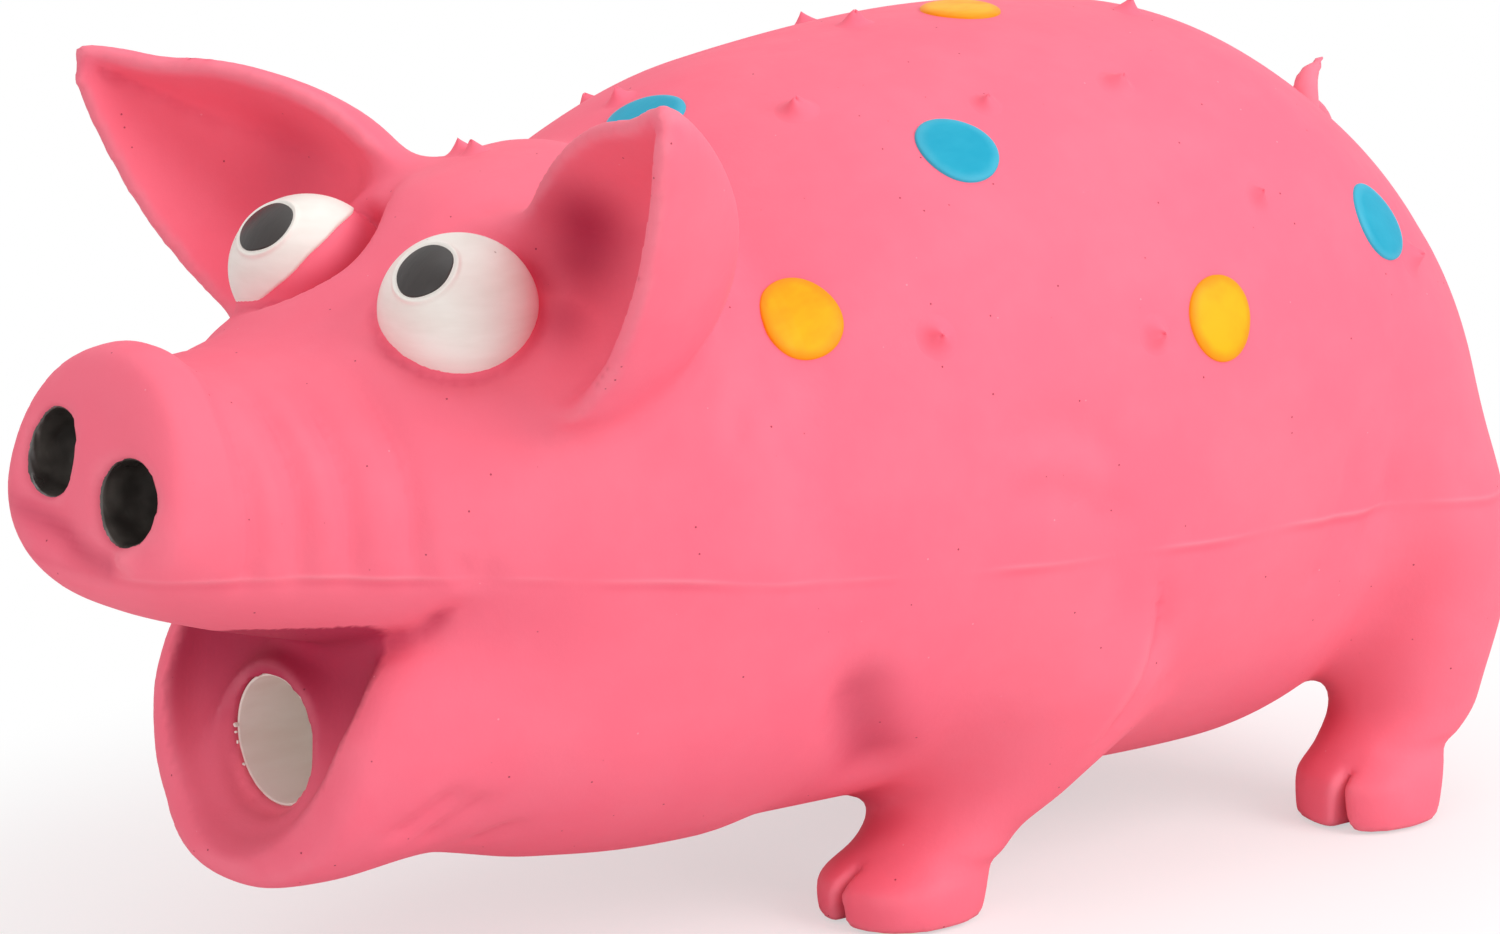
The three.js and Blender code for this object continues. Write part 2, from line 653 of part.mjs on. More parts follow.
// Outer sleeve of the sounder, with both rims rounded.
function sounderTube() {
  const { outer, bore, rimRound } = sounder;
  const start = throat.lipDepth + 2 * seat;
  const end = start + sounder.length;
  const profile = [
    [bore, start + rimRound],
    [bore + rimRound, start],
    [outer - rimRound, start],
    [outer, start + rimRound],
    [outer, end - rimRound],
    [outer - rimRound, end],
    [bore + rimRound, end],
    [bore, end - rimRound],
    [bore, start + rimRound],
  ].map(([radius, along]) => new THREE.Vector2(radius, along));
  const tube = new THREE.LatheGeometry(profile, 24);
  tube.rotateZ(-Math.PI / 2);
  return geometryOf(solidOf(tube));
}

// Box by its low and high corners in the sounder's frame.
function boxSolid(low, high) {
  const size = high.map((value, i) => value - low[i]);
  const box = new THREE.BoxGeometry(...size);
  box.translate(...low.map((value, i) => value + size[i] / 2));
  return solidOf(box);
}

function rod(radius, from, to) {
  const cylinder = new THREE.CylinderGeometry(radius, radius, to - from, 24);
  cylinder.rotateZ(Math.PI / 2);
  cylinder.translate((from + to) / 2, 0, 0);
  return solidOf(cylinder);
}

// Block that closes the tube, with the half-round shallot that the reed beats on.
function blockSolid() {
  const back = block.start + block.thickness;
  const tip = back + block.shallotLength;
  const reach = sounder.outer;
  const below = boxSolid([block.start - overrun, -reach, -reach], [tip + overrun, reach, 0]);
  const shallot = rod(block.shallot, back - seat, tip).intersect(below);
  const groove = rod(block.groove, block.start - overrun, tip - block.tip).intersect(below);
  const half = reed.width / 2 + seat;
  const pocket = boxSolid([back - slot.depth, -half, slot.floor], [back + overrun, half, slot.height]);
  return rod(sounder.bore - seat, block.start, back).add(shallot).subtract(groove).subtract(pocket);
}

// Springy tongue: flat at its root, lifting away from the shallot towards its free end.
function reedGeometry() {
  const back = block.start + block.thickness;
  const lower = Array.from({ length: reed.steps + 1 }, (_, i) => {
    const u = i / reed.steps;
    return [back - reed.root + u * reed.length, slot.floor + seat + reed.lift * u * u];
  });
  const upper = lower.slice().reverse().map(([x, z]) => [x, z + reed.thickness]);
  const outline = new THREE.Shape([...lower, ...upper].map(([x, z]) => new THREE.Vector2(x, z)));
  const tongue = new THREE.ExtrudeGeometry(outline, { depth: reed.width, bevelEnabled: false });
  tongue.translate(0, 0, -reed.width / 2);
  tongue.rotateX(Math.PI / 2);
  return geometryOf(solidOf(tongue));
}

// Wedge that holds the reed's root down in the block's slot.
function wedgeGeometry() {
  const back = block.start + block.thickness;
  const low = slot.floor + 2 * seat + reed.thickness;
  const start = back - slot.depth + seat;
  const outline = new THREE.Shape([
    new THREE.Vector2(start, low),
    new THREE.Vector2(back, low),
    new THREE.Vector2(back, low + wedge.rearHeight),
    new THREE.Vector2(start, low + wedge.frontHeight),
  ]);
  const body = new THREE.ExtrudeGeometry(outline, { depth: reed.width, bevelEnabled: false });
  body.translate(0, 0, -reed.width / 2);
  body.rotateX(Math.PI / 2);
  return geometryOf(solidOf(body));
}

function addSounder() {
  addPiece('sounder_tube', sounderTube(), whitePlastic, sounderPlace);
  addPiece('reed_block', geometryOf(blockSolid()), whitePlastic, sounderPlace);
  addPiece('reed', reedGeometry(), reedFilm, sounderPlace);
  addPiece('reed_wedge', wedgeGeometry(), whitePlastic, sounderPlace);
}

addPiece('torso', geometryOf(torsoSolid()), pink);
addPiece('head', geometryOf(headSolid()), pink);
addLimbs();
addPiece('tail', geometryOf(tailSolid()), pink);
addFace();
addSpots();
addSounder();

export default toy;
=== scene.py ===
"""Latex pig dog toy: a seamless moulded skin, painted eyes, nostrils and dots, and a sounder in the throat."""

import bpy
import numpy as np
from mathutils import Matrix, Vector
from mathutils.bvhtree import BVHTree


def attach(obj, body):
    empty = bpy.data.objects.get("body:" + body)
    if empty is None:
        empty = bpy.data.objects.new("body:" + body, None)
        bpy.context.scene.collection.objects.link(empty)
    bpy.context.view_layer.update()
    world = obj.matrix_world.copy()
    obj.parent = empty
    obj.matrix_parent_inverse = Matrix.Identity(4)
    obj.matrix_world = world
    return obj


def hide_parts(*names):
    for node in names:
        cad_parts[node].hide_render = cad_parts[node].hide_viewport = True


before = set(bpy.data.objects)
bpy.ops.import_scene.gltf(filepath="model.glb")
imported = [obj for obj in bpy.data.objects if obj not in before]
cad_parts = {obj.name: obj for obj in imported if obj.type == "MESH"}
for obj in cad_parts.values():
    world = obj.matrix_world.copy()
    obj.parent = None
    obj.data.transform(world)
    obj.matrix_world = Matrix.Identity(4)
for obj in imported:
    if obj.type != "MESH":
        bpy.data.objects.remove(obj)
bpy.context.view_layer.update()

MM = 0.001

# Tables of the body forms, in shares of their length, height and width in mm: place along the form, low edge,
# high edge, breadth, level of the widest line, roundness above it and below it, and lean.
TORSO = {
    "front": -63.5, "length": 180, "height": 120, "width": 104,
    "rows": [
        [0, 0.504, 0.504, 0, 0.504, 1, 1, 0], [0.017, 0.286, 0.706, 0.54, 0.504, 1, 1, 0],
        [0.083, 0.15, 0.815, 0.72, 0.504, 1, 1, 0], [0.183, 0.117, 0.886, 0.875, 0.521, 0.97, 0.97, 0],
        [0.35, 0.114, 0.977, 0.98, 0.538, 0.96, 0.96, 0], [0.544, 0.095, 1, 1, 0.555, 0.96, 0.9, 0],
        [0.711, 0.086, 0.979, 0.96, 0.563, 0.96, 0.88, 0], [0.85, 0.13, 0.876, 0.83, 0.563, 0.98, 0.9, 0],
        [0.942, 0.28, 0.715, 0.58, 0.54, 1, 1, 0], [1, 0.53, 0.53, 0, 0.53, 1, 1, 0],
    ],
}
HEAD = {
    "front": -114.2, "length": 97.5, "height": 110, "width": 90, "sway": 1.2,
    "rows": [
        [0, 0.69, 0.69, 0, 0.69, 1, 1, 0], [0.002, 0.595, 0.78, 0.29, 0.685, 1, 1, 0.25],
        [0.031, 0.56, 0.84, 0.42, 0.675, 0.95, 0.95, 0.22],
        [0.087, 0.53, 0.845, 0.445, 0.664, 0.95, 0.9, 0.15],
        [0.169, 0.499, 0.812, 0.478, 0.645, 0.95, 0.9, 0.05],
        [0.292, 0.467, 0.818, 0.578, 0.627, 0.95, 0.92, 0],
        [0.446, 0.435, 0.882, 0.733, 0.6, 0.97, 0.95, 0], [0.61, 0.364, 0.973, 0.889, 0.582, 1, 0.97, 0],
        [0.815, 0.327, 1, 1, 0.573, 1, 1, 0], [1, 0.573, 0.573, 0, 0.573, 1, 1, 0],
    ],
}
JAW = {
    "front": -94, "length": 88, "height": 66, "width": 80,
    "rows": [
        [0, 0.606, 0.606, 0, 0.606, 1, 1, 0], [0.006, 0.4, 0.758, 0.32, 0.606, 1, 0.9, 0],
        [0.046, 0.272, 0.848, 0.51, 0.606, 1, 0.85, 0], [0.138, 0.262, 0.909, 0.64, 0.636, 0.97, 0.9, 0],
        [0.3, 0.28, 0.97, 0.79, 0.667, 0.97, 0.97, 0], [0.506, 0.232, 1, 0.95, 0.697, 0.97, 0.97, 0],
        [0.77, 0.225, 1, 1, 0.697, 1, 1, 0], [1, 0.7, 0.7, 0, 0.7, 1, 1, 0],
    ],
}
DISH = {
    "front": -96, "length": 18.4, "height": 52, "width": 32,
    "rows": [
        [0, 1, 1, 0, 1, 0.4, 1, 0], [0.04, 0.43, 1.2, 1.28, 1, 0.4, 1, 0],
        [0.4, 0.435, 1.2, 1.27, 1, 0.4, 1, 0.1], [0.78, 0.455, 1.18, 1.24, 1, 0.4, 1, 0.26],
        [0.95, 0.5, 1.12, 1.02, 1, 0.4, 1, 0.3], [1, 1, 1, 0, 1, 0.4, 1, 0.3],
    ],
}
GAPE_OUTLINE = [(-0.44, 0.325), (-0.01, 0.325), (0.03, 0.34), (0.052, 0.39), (0.06, 0.47), (0.08, 0.606),
                (0.126, 0.727), (0.23, 0.88), (0.253, 1.02), (-0.44, 1.02)]

# Tables of the legs, in shares of their height and reach: height, middle along X, middle across, half length,
# half breadth and roundness.
LEG_HEIGHT = 80
LEG_REACH = 30
FRONT_ROWS = [
    [-0.006, 0, 0, 0.33, 0.32, 0.88], [0, 0, 0, 0.36, 0.35, 0.88], [0.06, 0.01, 0, 0.385, 0.37, 0.88],
    [0.11, 0.14, 0.02, 0.337, 0.36, 0.95], [0.155, 0.25, 0.03, 0.322, 0.38, 1],
    [0.225, 0.43, 0.07, 0.393, 0.46, 1], [0.33, 0.56, 0.13, 0.57, 0.57, 1], [0.45, 0.6, 0.2, 0.7, 0.63, 1],
    [0.6, 0.56, 0.23, 0.7, 0.6, 1], [0.78, 0.5, 0.2, 0.6, 0.45, 1], [0.9, 0.45, 0.2, 0.4, 0.25, 1],
]
HIND_ROWS = [
    [-0.006, 0, 0, 0.29, 0.29, 0.88], [0, 0, 0, 0.32, 0.32, 0.88], [0.075, 0.01, 0, 0.34, 0.34, 0.88],
    [0.13, 0.09, 0, 0.31, 0.32, 0.95], [0.22, 0.25, -0.02, 0.34, 0.38, 1],
    [0.4, 0.26, -0.05, 0.46, 0.52, 1], [0.6, 0.14, -0.08, 0.53, 0.62, 1],
    [0.82, -0.02, -0.14, 0.51, 0.6, 1], [1, -0.12, -0.27, 0.46, 0.36, 1],
]

# Where each hoof stands along X and out from the middle, its side, and which way its table runs along X.
LEGS = {
    "front_left": {"middle": 6, "outset": 24, "side": -1, "stride": 1, "rows": FRONT_ROWS},
    "front_right": {"middle": 51, "outset": 21.5, "side": 1, "stride": -1, "rows": FRONT_ROWS},
    "hind_left": {"middle": 88.5, "outset": 32, "side": -1, "stride": 1, "rows": HIND_ROWS},
    "hind_right": {"middle": 88.5, "outset": 32, "side": 1, "stride": 1, "rows": HIND_ROWS},
}

# Table of an ear, in shares of its span, setback and rise: how far out, upper edge along X and up, lower edge
# along X and up, depth of the cup and of the dome behind it. The near ear is drawn taller about a level.
EAR = {
    "span": 60, "rise": 123, "setback": 68, "depth": 19.5, "droop": 0.25, "rim": 1.3, "deepest": 0.35,
    "pivot": (-62, 31, 100), "shift": 1.8, "tilt": np.radians(7), "turn": np.radians(7),
    "level": 101, "taller": 1.06,
    "rows": [
        [0.2, -0.72, 0.829, -0.794, 0.715, 0, 0.2], [0.3, -0.75, 0.87, -0.853, 0.687, 0.15, 0.51],
        [0.433, -0.787, 0.925, -0.897, 0.671, 0.45, 0.82],
        [0.567, -0.831, 0.957, -0.924, 0.675, 0.65, 0.97], [0.7, -0.875, 0.975, -0.931, 0.715, 0.7, 1],
        [0.833, -0.919, 0.982, -0.953, 0.785, 0.55, 0.87], [0.933, -0.956, 0.994, -0.974, 0.866, 0.3, 0.56],
        [1, -0.982, 1, -0.993, 0.951, 0.03, 0.15],
    ],
}

# The two sides of the toy: -1 is the pig's left, which the camera sees.
SIDES = {-1: "left", 1: "right"}

# Eye balls and the sockets round them: middle of each ball, the socket's shift from it, and the radii.
EYES = {-1: (-65.72, -18.36, 94.95), 1: (-64.83, 15.57, 94.5)}
SOCKETS = {-1: (-1.2, -1.8, 2.1), 1: (-0.9, -1.4, 2.5)}
EYE_RADII = np.array((10.4, 10.4, 9.8))
SOCKET_RADII = (11.1, 11.1, 11.1)

# Pits of the nostrils: middle of a pair mirrored across, how far both then shift to the pig's left, how far
# the left one drops and the right one rises, and the radii.
NOSTRIL = {"centre": (-110.6, 8.6, 76.6), "shift": 1.8, "drop": 1.7, "radii": (8.6, 5.6, 5.6)}

# Throat: middle of its lip, radii of the hole, the sounder's bore, the boss and the flat seat, how far back
# from the lip the bore starts and ends and the boss ends, and how far the boss stands proud of it.
THROAT = {"lip": (-83.4, 0, 36), "hole": 8.3, "tube": 9.15, "boss": 10.6, "seat": 9.7,
          "depth": 0.9, "length": 37, "boss_length": 20, "proud": 0.15}

# Centre line of the tail from the rump to its horn, with the radius at each place.
TAIL = [(104.5, 1, 84, 3.2), (110.6, 3, 87.6, 3.2), (110.8, 4.2, 92.6, 3), (106.8, 2.6, 95.8, 2.7),
        (103.2, -1, 95.4, 2.5), (102.4, -2.2, 98, 2.3), (103.6, -1.2, 100.8, 2), (105.8, -0.4, 102.9, 1.3),
        (108, 0, 104.1, 0.7)]

# Pupils: the way each looks from the eye's centre, and its radius. The far eye is white only on one side of a
# plane, given by its normal and how far it lies from the eye's centre.
PUPILS = {-1: (-0.71, -0.2, 0.675), 1: (-0.711, -0.022, 0.703)}
PUPIL_RADII = {-1: 4.2, 1: 4.3}
WHITE_EDGE = np.array((0.476, -0.496, -0.726))
WHITE_EDGE_AWAY = 1.65

# Folds pressed into the skin: depth, width and line. The first lot is repeated on the right side.
SIDE_FOLDS = [
    (2, 1.3, [(-79.2, -16.8, 52.1), (-78.1, -21.3, 53.3), (-75.6, -23.4, 54.7), (-75.2, -26.6, 56.9),
              (-71.4, -31.8, 60.6)]),
    (1, 1.2, [(-76.1, -30.7, 65.6), (-74.4, -31.1, 63.4), (-72.2, -32, 61.6)]),
    (0.9, 1.2, [(-72.5, -32.3, 65.3), (-71.4, -32.6, 62.4)]),
    (2, 1.5, [(-80.9, -21.3, 26.2), (-76, -24.7, 30.1), (-73, -27.2, 33.5)]),
    (2, 1.5, [(-74.6, -20.6, 24.8), (-71.7, -24.3, 28.5), (-68.6, -27.8, 32.1)]),
    (1.6, 1.5, [(-65.1, -19, 22.5), (-61.7, -25.4, 26.1)]),
    (0.9, 1.8, [(-32, -34.9, 90.1), (-33.9, -38.3, 84.3), (-33.9, -41.2, 78.1)]),
    (0.8, 1.6, [(-34.3, -37.7, 86.6), (-37.8, -40.9, 81), (-39.5, -42.4, 76)]),
    (1.1, 3, [(-0.6, -49.8, 73.4), (5.3, -50.5, 73.7), (10.6, -50.8, 73.2), (16.4, -51.3, 70.7),
              (19.9, -51.4, 66.8)]),
    (1.1, 2.6, [(0, -50.4, 64.7), (8.1, -51.1, 64.6), (15.1, -51.3, 62.2), (24.4, -51.1, 56.9)]),
    (1, 2, [(66.4, -49.4, 63.1), (66.4, -48.8, 56), (63.5, -47.1, 46), (62.7, -45.3, 40.7)]),
    (1, 2, [(75.8, -47.1, 59.1), (76.9, -45.6, 51.5), (73, -45.9, 47.8), (72.7, -43.8, 41.6)]),
    (0.8, 2.2, [(88.9, -45.5, 62), (90.5, -46.9, 56), (92.2, -47.6, 46.4)]),
    (0.8, 1.4, [(-55.5, -21.3, 100), (-55, -23.5, 98.4), (-54.5, -25.8, 96.9)]),
    (1, 1.5, [(-60.5, -8.6, 103.4), (-57.5, -9.4, 104.7), (-52.9, -11.7, 105.1)]),
]
SINGLE_FOLDS = [
    (2.4, 1.3, [(-113.5, 13, 71), (-115.2, 6, 70.3), (-115.2, 1.3, 69.6), (-115.8, -2.7, 68),
                (-115.9, -8.9, 67), (-115.1, -12.7, 66)]),
    (-1.4, 1.3, [(-115.4, -12.4, 68.4), (-115, -13.4, 67.6)]),
    (3, 4.2, [(-20.6, -43.6, 44), (-16.5, -40.6, 36.5), (-10, -35, 29), (-5, -30, 24)]),
    (1.6, 1.3, [(27.5, -50.4, 52.6), (31.7, -47.2, 42.2), (28.1, -46.2, 31.3), (22, -40, 22)]),
    (-0.5, 2, [(25, -51, 52.6), (29, -48.6, 42.2), (25.4, -47.6, 31.3), (19.5, -41.4, 22)]),
    (1, 1.2, [(3.8, -32.6, 9.8), (7.2, -34.9, 8.8), (11.8, -34.7, 7.6), (16.5, -30, 8.2),
              (17.5, -24, 8.6)]),
    (1, 1.2, [(84.5, -37.4, 12), (86.9, -40, 11.5), (91.4, -41.6, 11.3), (96, -38, 11.3),
              (98.5, -32, 11.4)]),
]

# Painted shade, deeper red where shadow falls in the ear cups, the pocket in front of the near leg, the nose
# crease and the mouth's corners: reach, stretch upwards, amount and line.
SHADES = [
    (6.7, 1.6, 1, [(-50, -25.5, 104)]),
    (4, 1.6, 0.6, [(-56, -28, 93.5)]),
    (7.5, 1.6, 0.45, [(-48, 39, 103)]),
    (4.2, 1.4, 0.52, [(-17.5, -42.4, 37.5), (-13.7, -38.8, 32.2), (-9, -35, 28)]),
    (1.7, 1, 0.45, [(-113.5, 13, 71), (-114.6, 6, 70.3), (-114.6, 1.3, 69.6), (-115.1, -2.7, 68),
                    (-115.2, -8.9, 67)]),
    *((1.7, 1, amount, [(-79.2, side * 16, 52.1), (-78.1, side * 20.5, 53.3), (-75.6, side * 22.6, 54.7),
                        (-75.2, side * 25.8, 56.9)]) for side, amount in ((-1, 0.55), (1, 0.45))),
]

# Where the grooves round the snout lie along X.
SNOUT_RINGS = (-101.3, -94.8, -88.3, -80.8)

# Clefts of the hooves: front of the hoof, plane across, and the height where the two toes meet.
CLEFTS = [(-8, -23.4, 9.4), (37, 20.9, 9.4), (76, -35.4, 10), (76, 35.4, 10)]

# Raised dots: colour, place, and how far out of round.
DOTS = [
    ("blue", (-19, 0.6, 111.2), 0.3), ("blue", (9.1, -31.2, 108.2), 1.4),
    ("blue", (79.6, -40.4, 90.1), 2.2), ("blue", (7.3, 44.7, 92.4), 3.1), ("blue", (49.8, 28, 111.8), 4.4),
    ("blue", (88.2, 38.6, 85.9), 5.2), ("yellow", (36, -1.3, 119.6), 0.9),
    ("yellow", (-24.2, -37.7, 90.8), 1.9), ("yellow", (40.8, -49.3, 83.6), 3.7),
    ("yellow", (-19.3, 39.5, 92.2), 4.9), ("yellow", (60.3, 46.3, 88.9), 5.9),
]
DOT_RADIUS = 5.85

# Pointed bumps, and crumbs of latex on the throat's lip: angle round the hole from the right side, and size.
BUMPS = [(-42.7, 7.4, 108.5), (-42.3, 10.9, 108.2), (-15.5, 10.3, 111.9), (-6.9, -16.9, 114.4),
         (19.8, 2.3, 119.1), (18.6, -26.2, 112.1), (41.6, -27.5, 112.7), (62.7, -6.8, 116.9),
         (-7.1, -45.8, 87.4), (28.6, -49.6, 83.1), (54.5, -42.3, 97.4), (86, -40.9, 84.3),
         (-28.4, -24.6, 103.6), (-5, 30, 107), (28, 22, 114.6), (66, 18, 111.5), (-8, 45.4, 84),
         (30, 48.6, 88), (60, 40.6, 100.4), (84, 30, 97)]
CRUMBS = [(0.05, 0.34), (-0.07, 0.2), (-0.24, 0.17), (-0.62, 0.2)]

# Widths over which the forms run into each other, and over which cut edges are rounded.
BLEND = {"torso": 0.1, "leg": 6, "sole": 0.8, "tail": 1.2, "lips": 3, "dish": 1.4, "socket": 4, "eye": 2.6,
         "boss": 5, "head": 7, "ear": 5, "seat": 2, "hole": 0.8, "pit": 2.2, "cleft": 0.7}

# Where the grid's step changes along X, Y and Z, and the step from there on.
GRID = [[(-121, 1.0), (-38, 1.4), (-10, 1.0), (4, 1.4), (76, 1.0), (86, 1.4), (121, None)],
        [(-66, 1.1), (66.1, None)], [(-4, 0.9), (14, 1.1), (130.1, None)]]


def column(values):
    """Cubic through evenly spaced values that never overshoots: slopes are harmonic means of the steps."""
    values = np.asarray(values, float)
    steps = np.diff(values)

    def end(step, following):
        slope = (3 * step - following) / 2
        if slope * step <= 0:
            return 0.0
        return 3 * step if step * following <= 0 and abs(slope) > abs(3 * step) else slope

    before, after = steps[:-1], steps[1:]
    total = np.where(before * after > 0, before + after, 1)
    inner = np.where(before * after > 0, 2 * before * after / total, 0)
    slopes = np.concatenate([[end(steps[0], steps[1])], inner, [end(steps[-1], steps[-2])]])

    def value(share):
        place = np.clip(share, 0, 1) * len(steps)
        i = np.minimum(place.astype(int), len(steps) - 1)
        u = place - i
        ease = u * (1 - u)
        return (values[i] + steps[i] * u * u * (3 - 2 * u)
                + ease * (1 - u) * slopes[i] - ease * u * slopes[i + 1])

    return value


def columns(rows):
    """The cubics through a table's columns."""
    return [column(values) for values in np.array(rows, float).T]


def signed_power(value, power):
    """A power that keeps the sign of its base."""
    return np.sign(value) * np.abs(value) ** power


def body_points(form, shares, angles):
    """Superellipse slices along X whose edges follow the table: rows of points, one row a slice."""
    along, low, high, breadth, level, above, below, lean = (c(shares)[:, None] for c in columns(form["rows"]))
    up = np.sin(angles)[None, :]
    power = np.where(up > 0, above, below)
    lift = np.where(up > 0, high - level, level - low) * form["height"] * signed_power(up, power)
    half = breadth * form["width"] / 2 * signed_power(np.cos(angles)[None, :], power)
    x = form["front"] + along * form["length"] + lean * lift
    return np.stack([x, half - form.get("sway", 0) * (1 - shares[:, None]), level * form["height"] + lift], -1)


def leg_points(leg, shares, angles):
    """Superellipse slices stacked up, set out to one side."""
    up, along, out, half_length, half_breadth, power = (c(shares)[:, None] for c in columns(leg["rows"]))
    forward = leg["stride"] * along + half_length * signed_power(np.cos(angles)[None, :], power)
    outward = out + half_breadth * signed_power(np.sin(angles)[None, :], power)
    y = leg["side"] * (leg["outset"] + LEG_REACH * outward)
    return np.stack([leg["middle"] + LEG_REACH * forward, y, up * LEG_HEIGHT + 0 * forward], -1)


def ear_points(side, shares, steps):
    """Rings across the ear: over the cup from its lower edge to its upper one, and back over the dome."""
    out, up_x, up_z, low_x, low_z, front, rear = (c(shares)[:, None] for c in columns(EAR["rows"]))
    over = np.sin(np.linspace(-0.5, 0.5, steps) * np.pi)[None, :]
    deepest = EAR["deepest"]
    bowl = 1 - ((over - deepest) / np.where(over < deepest, 1 + deepest, 1 - deepest)) ** 2
    dome = np.sqrt(1 - over[:, 1:-1] ** 2)[:, ::-1]
    v = np.concatenate([over, over[:, 1:-1][:, ::-1]], 1)
    push = np.concatenate([front * bowl, rear * dome], 1)
    half_x, half_z = EAR["setback"] * (up_x - low_x) / 2, EAR["rise"] * (up_z - low_z) / 2
    drawn_in = 1 - EAR["rim"] / np.hypot(half_x, half_z)
    x = EAR["setback"] * (up_x + low_x) / 2 + half_x * drawn_in * v + EAR["depth"] * push
    z = EAR["rise"] * (up_z + low_z) / 2 + half_z * drawn_in * v - EAR["droop"] * EAR["depth"] * push
    points = np.stack([x, (EAR["rim"] - EAR["span"]) * out + 0 * x, z, 1 + 0 * x], -1)
    return (points @ ear_place(side).T)[..., :3]


def ear_place(side):
    """Matrix of a place on the left ear's table to its place on the toy, mirrored for the right ear."""
    pivot = np.array(EAR["pivot"]) * (1, side, 1)
    place = Matrix.Translation(pivot - (0, EAR["shift"], 0)) @ Matrix.Rotation(EAR["turn"], 4, "Z")
    place = place @ Matrix.Rotation(-EAR["tilt"], 4, "X") @ Matrix.Translation(-pivot)
    if side > 0:
        place = place @ Matrix.Diagonal((1, -1, 1, 1))
    else:
        level = Matrix.Translation((0, 0, EAR["level"]))
        place = level @ Matrix.Diagonal((1, 1, EAR["taller"], 1)) @ level.inverted() @ place
    return np.array(place)


def capped(rings):
    """Points and faces of rows of points closed to a point at both ends."""
    rows, cols = rings.shape[:2]
    points = np.concatenate([rings.reshape(-1, 3), rings[[0, -1]].mean(1)])
    around = np.arange(cols)
    following = (around + 1) % cols
    last = (rows - 1) * cols
    tops = [np.stack([following, around, 0 * around + rows * cols], 1),
            np.stack([last + around, last + following, 0 * around + rows * cols + 1], 1)]
    return points, grid_faces(rows, cols).tolist() + np.concatenate(tops).tolist()


def slices(make, form, rows, cols):
    """Closed mesh of a form made of slices."""
    return capped(make(form, np.linspace(0, 1, rows), (np.arange(cols) + 0.5) / cols * 2 * np.pi))


def mesh_field(mesh, x, y, z, reach=9.0):
    """Signed distance to a closed mesh on a grid: exact near its surface, coarse away from it."""
    x, y, z = (axis.ravel() for axis in (x, y, z))
    points, faces = mesh
    tree = BVHTree.FromPolygons(points.tolist(), faces)
    axes = [np.linspace(a[0], a[-1], max(2, int((a[-1] - a[0]) / 4) + 1)) for a in (x, y, z)]
    rough = np.array([tree.find_nearest(p)[3] for p in
                      np.stack(np.meshgrid(*axes, indexing="ij"), -1).reshape(-1, 3).tolist()])
    rough = rough.reshape([len(a) for a in axes])
    for k, (fine, coarse) in enumerate(zip((x, y, z), axes)):
        place = np.interp(fine, coarse, np.arange(len(coarse)))
        base = np.minimum(place.astype(int), len(coarse) - 2)
        part = (place - base).reshape([-1 if j == k else 1 for j in range(3)])
        rough = np.take(rough, base, k) * (1 - part) + np.take(rough, base + 1, k) * part
    close = np.argwhere(rough < reach)
    spots = np.stack([axis[close[:, k]] for k, axis in enumerate((x, y, z))], 1)
    rough[tuple(close.T)] = [tree.find_nearest(p)[3] for p in spots.tolist()]
    return np.where(inside_mesh(tree, x, y, z), -rough, rough)


def inside_mesh(tree, x, y, z):
    """Which grid points a closed mesh holds, by its walls along lines parallel to Z, a little off the grid."""
    inside = np.zeros((len(x), len(y), len(z)), bool)
    for i, px in enumerate(x + 0.0137):
        for j, py in enumerate(y + 0.0093):
            start, walls = -200.0, []
            while True:
                hit = tree.ray_cast((px, py, start), (0, 0, 1))[0]
                if hit is None:
                    break
                walls.append(hit[2])
                start = hit[2] + 1e-3
            for low, high in zip(walls[::2], walls[1::2]):
                inside[i, j] |= (z > low) & (z < high)
    return inside


def smooth_least(a, b, blend):
    """The lesser of two fields, filleted where they meet: a union of their shapes."""
    h = np.clip(0.5 + 0.5 * (b - a) / blend, 0, 1)
    return b + (a - b) * h - blend * h * (1 - h)


def smooth_most(a, b, blend):
    """The greater of two fields, rounded where they meet: what their shapes share."""
    return -smooth_least(-a, -b, blend)


def ball_field(centre, radii, *axes):
    """Distance to an ellipsoid, near enough by its shortest radius."""
    return (np.sqrt(sum(((axis - c) / r) ** 2 for axis, c, r in zip(axes, centre, radii))) - 1) * min(radii)


def squared(place, *axes):
    """Squared distance from a place."""
    return sum((axis - c) ** 2 for axis, c in zip(axes, place))


def tube_field(line, *axes):
    """Distance to a chain of balls, given as places with a radius each."""
    least = 1e3
    for *place, radius in line:
        least = np.minimum(least, np.sqrt(squared(place, *axes)) - radius)
    return least


def gape_field(x, z):
    """Signed distance to the side outline of the open mouth, the same all the way across."""
    outline = np.array([(JAW["front"] + a * JAW["length"], b * JAW["height"]) for a, b in GAPE_OUTLINE])
    least, inside = 1e6, False
    for (ax, az), (bx, bz) in zip(outline, np.roll(outline, -1, axis=0)):
        ex, ez = bx - ax, bz - az
        t = np.clip(((x - ax) * ex + (z - az) * ez) / (ex * ex + ez * ez), 0, 1)
        least = np.minimum(least, np.hypot(x - ax - t * ex, z - az - t * ez))
        inside = inside ^ ((az > z) != (bz > z)) & (x < ex * (z - az) / np.where(ez == 0, 1, ez) + ax)
    return np.where(inside, -least, least)


def throat_place(x, y, z):
    """Distance from the throat's axis, and how far back a place lies from its lip."""
    front, _, level = THROAT["lip"]
    return np.sqrt(y ** 2 + (z - level) ** 2), x - front


def curve(points, count):
    """Evenly spaced places on the smooth line through some points."""
    points = np.array(points, float)
    if len(points) == 2:
        points = np.insert(points, 1, points.mean(0), 0)
    share = np.linspace(0, 1, count)
    return np.stack([column(values)(share) for values in points.T], 1)


def rise(value, low, high):
    """Smooth rise from 0 to 1 between two values."""
    u = np.clip((value - low) / (high - low), 0, 1)
    return u * u * (3 - 2 * u)


